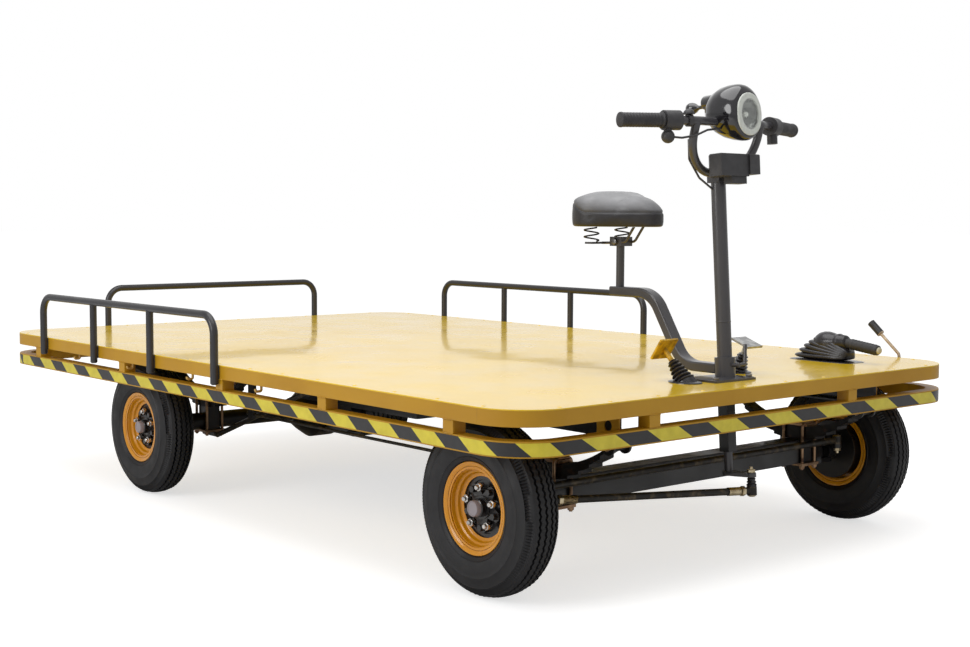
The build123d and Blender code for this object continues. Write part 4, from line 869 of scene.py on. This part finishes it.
COIL = (0.022, 0.0024, 0.0457)
COIL_TURNS = 2
COIL_STEPS = 24
CLAMP_NUT_AT = (0.91465, 0.024, 0.902)
CLAMP_NUT = (0.0105, 0.009)


def crest(x):
    """Height of the saddle's middle line."""
    for (start, low), (end, high) in zip(CREST, CREST[1:]):
        if x <= end:
            return low + (high - low) * (max(x, start) - start) / (end - start)
    return CREST[-1][1]


def seam_height(x):
    """Height of the seam between the side and top panels, higher round the back."""
    start, length, rise = SEAM_REAR
    share = min(max((start - x) / length, 0.0), 1.0)
    return SADDLE_SEAM + rise * share * share * (3 - 2 * share)


def saddle_block():
    """Foam block of the saddle, drawn up ring by ring from its outline."""
    shape = bmesh.new()
    bmesh.ops.create_circle(shape, cap_ends=True, segments=96, radius=1.0)
    for vertex in shape.verts:
        way = Vector((vertex.co.x, vertex.co.y)).normalized()
        middle, radius = max(SADDLE_CIRCLES, key=lambda circle: Vector(circle[0]).dot(way) + circle[1])
        vertex.co = (*(Vector(middle) + way * radius), SADDLE_FOOT)
    long_edges = [edge for edge in shape.edges if edge.calc_length() > LONG_EDGE]
    bmesh.ops.subdivide_edges(shape, edges=long_edges, cuts=LONG_CUTS)
    verts, ring = list(shape.verts), list(shape.edges)
    rings = [(share, lambda x, rise=rise: SADDLE_FOOT + rise) for share, rise in SADDLE_WALL]
    for share in SADDLE_DOME:
        swell = sqrt(1 - share ** 4)
        rings.append((share, lambda x, swell=swell: seam_height(x) + (crest(x) - seam_height(x)) * swell))
    last = 1.0
    for number, (share, height) in enumerate(rings):
        if number:
            verts, ring = next_ring(shape, ring)
        for vertex in verts:
            vertex.co.x = SADDLE_MIDDLE[0] + (vertex.co.x - SADDLE_MIDDLE[0]) * share / last
            vertex.co.y *= share / last
            vertex.co.z = height(vertex.co.x)
        last = share
    bmesh.ops.contextual_create(shape, geom=ring)
    bmesh.ops.recalc_face_normals(shape, faces=shape.faces)
    return shape


def shown_mesh(piece):
    """Mesh of an object with its modifiers applied."""
    return bpy.data.meshes.new_from_object(piece.evaluated_get(bpy.context.evaluated_depsgraph_get()))


def stuffed(shape):
    """Foam block under a tight cover: remeshed evenly, blown up by cloth, and divided once."""
    scene = bpy.context.scene
    block = bpy.data.meshes.new("saddle_block")
    shape.to_mesh(block)
    shape.free()
    pad = bpy.data.objects.new("saddle_block", block)
    scene.collection.objects.link(pad)
    remesh = pad.modifiers.new("even", "REMESH")
    remesh.mode = "VOXEL"
    remesh.voxel_size = VOXEL
    even = shown_mesh(pad)
    pad.modifiers.clear()
    pad.data = even
    held = pad.vertex_groups.new(name="pan")
    held.add([point.index for point in even.vertices if point.co.z < SADDLE_FOOT + PAN_HEIGHT], 1.0, "ADD")
    cover = pad.modifiers.new("cover", "CLOTH")
    cover.settings.vertex_group_mass = "pan"
    cover.settings.use_pressure = True
    cover.settings.uniform_pressure_force = COVER_PRESSURE
    cover.settings.effector_weights.gravity = 0.0
    for number in range(COVER_FRAMES):
        scene.frame_set(number + 1)
    blown = shown_mesh(pad)
    pad.modifiers.clear()
    scene.frame_set(1)
    for point, end in zip(even.vertices, blown.vertices):
        move = end.co - point.co
        point.co = point.co + move * min(1.0, SWELL / max(move.length, 1e-9))
    bpy.data.meshes.remove(blown)
    divide = pad.modifiers.new("divide", "SUBSURF")
    divide.levels = divide.render_levels = 1
    fine = bmesh.new()
    fine.from_mesh(shown_mesh(pad))
    bpy.data.objects.remove(pad)
    return fine


def saddle_cover():
    """Dark vinyl with a leather grain, its top panel painted lighter than the side as a painted sheen, rising from
    the seam toward the crown.
    """
    material, tree, shader = new_finish("saddle_vinyl")
    painted_sheen = tree.nodes.new("ShaderNodeAttribute")
    painted_sheen.attribute_name = "painted_sheen"
    # The top tone is painted sheen: the same dark vinyl as the side, painted lighter where it faces the overhead
    # light.
    top = cloudy(tree, 22.0, 5.0, tone(140, 140, 142), tone(154, 154, 156))
    side = cloudy(tree, 22.0, 5.0, tone(40, 39, 42), tone(50, 49, 52))
    tree.links.new(mixed(tree, painted_sheen.outputs["Fac"], side, top), shader.inputs["Base Color"])
    shine(tree, shader, 40.0, 4.0, 0.36, 0.5)
    relief(tree, shader, cells(tree, 520.0), 0.00022)
    return material


saddle = stuffed(saddle_block())
# Share of painted sheen on each point: none on the side, rising to full a little above the seam.
painted_sheen = saddle.verts.layers.float.new("painted_sheen")
saddle.normal_update()
for vertex in saddle.verts:
    off = vertex.co.z - seam_height(vertex.co.x)
    vertex[painted_sheen] = min(max(off / SHEEN_RISE + SHEEN_LEAST, 0.0), 1.0)
    if vertex.normal.z > -0.5:
        vertex.co -= vertex.normal * STITCH_DEEP * exp(-(off / STITCH_HALF) ** 2)
piece = add_piece("padded_saddle", saddle, saddle_cover(), "chassis", "saddle_vinyl", 180)
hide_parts("saddle")

coils = bmesh.new()
clamp_nuts = bmesh.new()
radius, wire, height = COIL
steps = COIL_TURNS * COIL_STEPS
for side in (-1, 1):
    part = bmesh.new()
    upright = Matrix.Translation((radius, 0, wire)) @ Matrix.Rotation(pi / 2, 4, "X")
    bmesh.ops.create_circle(part, cap_ends=True, segments=10, radius=wire, matrix=upright)
    bmesh.ops.spin(part, geom=list(part.verts) + list(part.edges) + list(part.faces), axis=(0, 0, 1),
                   cent=(0, 0, 0), dvec=(0, 0, (height - 2 * wire) / steps), angle=2 * pi * COIL_TURNS, steps=steps)
    flip = Vector((1, side, 1))
    put(coils, part, Matrix.Translation(Vector(COIL_AT) * flip))
    hex_head(clamp_nuts, aimed(Vector(CLAMP_NUT_AT) * flip, (0, side, 0)), *CLAMP_NUT)
piece = add_piece("saddle_coil_springs", coils, spring_steel, "chassis", "spring_steel")
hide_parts("saddle_springs")
add_piece("saddle_clamp_nuts", clamp_nuts, zinc_bolts, "chassis", "clamp_steel")


# Floor controls: pedals with pressed pads on stems in bellows of glossy rubber, and outside the left
# edge a bare steel gear lever with a black knob.

BOOT_BORE, BOOT_WIDE, BOOT_RIBS, BOOT_STEP = 0.0071, 0.030, 6, 0.0026
BOOT_FOOT = (-0.04, -0.001)
BOOT_RIB = ((0.0065, 0.0), (0.0015, 0.18), (0.0, 0.36), (0.0015, 0.55), (0.0070, 0.80))
BOOT_NECK = 0.0125
PEDAL_FEET = (
    # foot, lean about Y in degrees, boot height, stretch of the flange
    ((1.31965, -0.158), -42, 0.0732, 1.36),
    ((1.24165, 0.158), 20, 0.0595, 1.08),
)
BOOT_FLANGE = ((0.024, 0.005), (0.035, 0.0046), (0.0385, 0.0028), (0.039, 0.0))
KNOB_WAY = (-0.7507, 0.0, 0.6607)
KNOB_FROM = -0.507
TONE_EDGE = 0.001


def boot_section(height):
    """Bellows from below the deck to the pedal's stem, as (radius, height)."""
    points = [(BOOT_WIDE, below) for below in BOOT_FOOT]
    pitch = height / BOOT_RIBS
    for rib in range(BOOT_RIBS):
        wide = BOOT_WIDE - rib * BOOT_STEP
        base = rib * pitch
        points += [(wide - less, base + share * pitch) for less, share in BOOT_RIB]
    return points + [(BOOT_NECK, height), (BOOT_BORE, height)]


def split_finish(name, way, start, first, second, roughness, metallic):
    """Steel in one tone before a plane and another tone after it, with worn patches."""
    material, tree, shader = new_finish(name)
    along = worked(tree, "VectorMath", "DOT_PRODUCT", over_piece(tree), way)["Value"]
    beyond = span(tree, along, start, start + TONE_EDGE)
    shades = [tones(tree, grain(tree, 48.0, 6.0), (0.34, dark), (0.66, light)) for dark, light in (first, second)]
    tree.links.new(mixed(tree, beyond, *shades), shader.inputs["Base Color"])
    tree.links.new(span(tree, beyond, 0.0, 1.0, *metallic), shader.inputs["Metallic"])
    shine(tree, shader, 60.0, 5.0, *roughness)
    relief(tree, shader, grain(tree, 240.0, 4.0), 0.00015)
    return material


pedal_plates = split_finish(
    "pedal_plates", (0, 1, 0), 0.0, (tone(150, 112, 20), tone(232, 186, 28)),
    (tone(150, 150, 150), tone(206, 206, 204)), (0.3, 0.5), (0.0, 0.85))
gear_steel = split_finish(
    "gear_lever_steel", KNOB_WAY, KNOB_FROM, (tone(176, 152, 124), tone(208, 192, 168)),
    (tone(34, 33, 34), tone(46, 45, 46)), (0.35, 0.5), (0.4, 0.0))
finish_nodes(pedal_plates, "pedals")
finish_nodes(gear_steel, "gear_lever")
pedal_bellows = bmesh.new()
for (x, y), lean, height, stretch in PEDAL_FEET:
    part = bmesh.new()
    foot = Matrix.Translation((x, y, deck_top))
    lathe(part, boot_section(height), foot @ Matrix.Rotation(radians(lean), 4, "Y"), 40)
    bmesh.ops.bisect_plane(part, geom=list(part.verts) + list(part.edges) + list(part.faces),
                           plane_co=(0, 0, deck_top), plane_no=(0, 0, 1), clear_inner=True)
    put(pedal_bellows, part, Matrix.Identity(4))
    lathe(pedal_bellows, BOOT_FLANGE, foot @ Matrix.Diagonal((stretch, 1, 1, 1)), 40)
piece = add_piece("pedal_bellows", pedal_bellows, boot_rubber, "chassis", "boot_rubber", 50)
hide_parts("pedal_boots")


# Parking brake: a lever with a moulded grip in a pleated rubber boot, whose pleats fan up from the
# front edge of a flange that is screwed to the deck.

BRAKE_FRONT = Vector((1.27765, 0.665, 0.525))
PLEATS = 6
PLEAT_SIZE = (0.198, 0.096, 0.021)
PLEAT_LESS = (0.014, 0.007)
PLEAT_TURN = 4.6
PLEAT_RISE = 0.003
PLEAT_SQUARE, PLEAT_FULL = 4, 0.45
FLANGE_SIZE = (0.243, 0.12, 0.007)
FLANGE_SHIFT = Vector((0.03, 0, -0.0065))
COWL_AT = Vector((1.18165, 0.665, 0.578))
COWL_TO = Vector((1.26365, 0.665, 0.584))
COWL = ((0, -0.040), (0.0150, -0.0365), (0.0262, -0.0275), (0.0332, -0.0150), (0.0362, 0.0), (0.0355, 0.015),
        (0.0320, 0.030), (0.0276, 0.042), (0.0262, 0.047), (0.0282, 0.051), (0.0282, 0.057), (0.0255, 0.060),
        (0.0225, 0.078), (0.0200, 0.0815), (0.0150, 0.0825))
GRIP_TIP = Vector((1.37765, 0.665, 0.567))
GRIP_WAY = Vector((0.136, 0.0, -0.018))
RING_START, RING_PITCH, RING_COUNT = -0.1, 0.0105, 9
RING = ((0.0160, 0.0), (0.0172, 0.25), (0.0172, 0.6), (0.0160, 0.85))
RINGED_GRIP = [(0.0152, RING_START), *ridges(RING_START, RING_PITCH, RING_COUNT, RING), (0.0160, -0.002),
               (0.0145, 0.0008), (0.0, 0.0010)]
BUTTON = ((0.0112, 0.0008), (0.0105, 0.006), (0.0085, 0.008), (0, 0.0085))


def pleat(shape, length, width, thick, place):
    """Pillow with a rounded-square outline, its front edge on a frame's origin."""
    part = bmesh.new()
    bmesh.ops.create_uvsphere(part, u_segments=56, v_segments=12, radius=1.0)
    for vertex in part.verts:
        x, y = vertex.co.x, vertex.co.y
        squared = (x ** PLEAT_SQUARE + y ** PLEAT_SQUARE) ** (1 / PLEAT_SQUARE)
        if squared > 1e-6:
            out = hypot(x, y) ** PLEAT_FULL / squared
            vertex.co.x, vertex.co.y = x * out, y * out
    size = Matrix.Diagonal((length / 2, width / 2, thick / 2, 1))
    put(shape, part, place @ Matrix.Translation((-length / 2, 0, thick / 2)) @ size)


pale_end = moulded("pale_button", tone(206, 200, 176), tone(184, 178, 154), (0.3, 0.45), 0.0001)
finish_nodes(grip_rubber, "brake_grip")
brake_bellows = bmesh.new()
pleat(brake_bellows, *FLANGE_SIZE, Matrix.Translation(BRAKE_FRONT + FLANGE_SHIFT))
for number in range(PLEATS):
    length = PLEAT_SIZE[0] - number * PLEAT_LESS[0]
    width = PLEAT_SIZE[1] - number * PLEAT_LESS[1]
    fan = Matrix.Translation(BRAKE_FRONT + Vector((0, 0, number * PLEAT_RISE)))
    fan = fan @ Matrix.Rotation(radians(number * PLEAT_TURN), 4, "Y")
    pleat(brake_bellows, length, width, PLEAT_SIZE[2], fan)
lathe(brake_bellows, COWL, aimed(COWL_AT, COWL_TO - COWL_AT), 40)
piece = add_piece("brake_bellows", brake_bellows, boot_rubber, "chassis", "boot_rubber", 50)
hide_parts("brake_boot")
tip = aimed(GRIP_TIP, GRIP_WAY)
turned("brake_grip_rings", RINGED_GRIP, tip, 32, grip_rubber, "chassis", "grip_rubber")
turned("brake_grip_button", BUTTON, tip, 32, pale_end, "chassis", "grip_rubber")


# Studio: a pale floor that runs out to a white surround, one large soft lamp overhead and one on the
# right, and the camera at the height of the driver's knee in front of the right corner.

FLOOR_HALF = 60.0
FLOOR_TONE = 0.72
FLOOR_LIFT = 0.64
SURROUND = 0.5
BACKDROP = 0.9
BACKDROP_WAY = (-0.76, 0.65, 0.0)
BACKDROP_SPAN = (0.4, 0.9)
CAMERA_AT = (3.991, -3.1741, 0.9875)
CAMERA_TURN = 49.417
CAMERA_DIP = 4.368
CAMERA_ROLL = 0.282
CAMERA_LENS = 54.05
LAMPS = (
    # name, place, size, power
    ("overhead_softbox", (0.6, -0.6, 4.2), 4.5, 100.0),
    ("right_softbox", (0.0, -5.5, 2.6), 3.0, 90.0),
)
LAMPS_AIM = Vector((0.2, 0, 0.4))


def seen_directly(tree):
    """1 for what the camera sees straight on or through glass, else 0."""
    path = tree.nodes.new("ShaderNodeLightPath").outputs
    return worked(tree, "Math", "MAXIMUM", path["Is Camera Ray"], path["Is Transmission Ray"])["Value"]


floor_shape = bmesh.new()
bmesh.ops.create_grid(floor_shape, x_segments=1, y_segments=1, size=FLOOR_HALF)
floor_mesh = bpy.data.meshes.new("studio_floor")
floor_shape.to_mesh(floor_mesh)
floor_shape.free()
floor = bpy.data.objects.new("studio_floor", floor_mesh)
bpy.context.scene.collection.objects.link(floor)
floor_finish, floor_tree, floor_shader = new_finish("pale_floor")
floor_shader.inputs["Roughness"].default_value = 0.9
floor_shader.inputs["Specular IOR Level"].default_value = 0.0
speckle = cloudy(floor_tree, 4.0, 3.0, (FLOOR_TONE,) * 3, (FLOOR_TONE + 0.01,) * 3)
floor_tree.links.new(speckle, floor_shader.inputs["Base Color"])
floor_shader.inputs["Emission Color"].default_value = (1, 1, 1, 1)
lift = span(floor_tree, seen_directly(floor_tree), 0.0, 1.0, 0.0, FLOOR_LIFT)
floor_tree.links.new(lift, floor_shader.inputs["Emission Strength"])
floor_mesh.materials.append(floor_finish)

world = bpy.data.worlds.new("studio_surround")
bpy.context.scene.world = world
world.use_nodes = True
surround = world.node_tree.nodes["Background"]
surround.inputs["Color"].default_value = (1, 1, 1, 1)
world_tree = world.node_tree
outward = world_tree.nodes.new("ShaderNodeTexCoord").outputs["Generated"]
facing = worked(world_tree, "VectorMath", "DOT_PRODUCT", outward, BACKDROP_WAY)["Value"]
level = world_tree.nodes.new("ShaderNodeMix")
world_tree.links.new(seen_directly(world_tree), level.inputs["Factor"])
world_tree.links.new(span(world_tree, facing, *BACKDROP_SPAN, SURROUND, BACKDROP), level.inputs["A"])
level.inputs["B"].default_value = 1.0
world_tree.links.new(level.outputs["Result"], surround.inputs["Strength"])

for name, place, size, power in LAMPS:
    light = bpy.data.lights.new(name, "AREA")
    light.shape = "DISK"
    light.size = size
    light.energy = power
    lamp = bpy.data.objects.new(name, light)
    lamp.location = place
    lamp.rotation_euler = (LAMPS_AIM - Vector(place)).to_track_quat("-Z", "Y").to_euler()
    bpy.context.scene.collection.objects.link(lamp)

camera_data = bpy.data.cameras.new("photo_camera")
camera_data.sensor_width = 36.0
camera_data.lens = CAMERA_LENS
camera = bpy.data.objects.new("photo_camera", camera_data)
camera.location = CAMERA_AT
aim = (Matrix.Rotation(radians(CAMERA_TURN), 3, "Z") @ Matrix.Rotation(radians(90 - CAMERA_DIP), 3, "X")
       @ Matrix.Rotation(radians(CAMERA_ROLL), 3, "Z"))
camera.rotation_euler = aim.to_euler()
bpy.context.scene.collection.objects.link(camera)
bpy.context.scene.camera = camera
bpy.context.scene.view_settings.view_transform = "Standard"
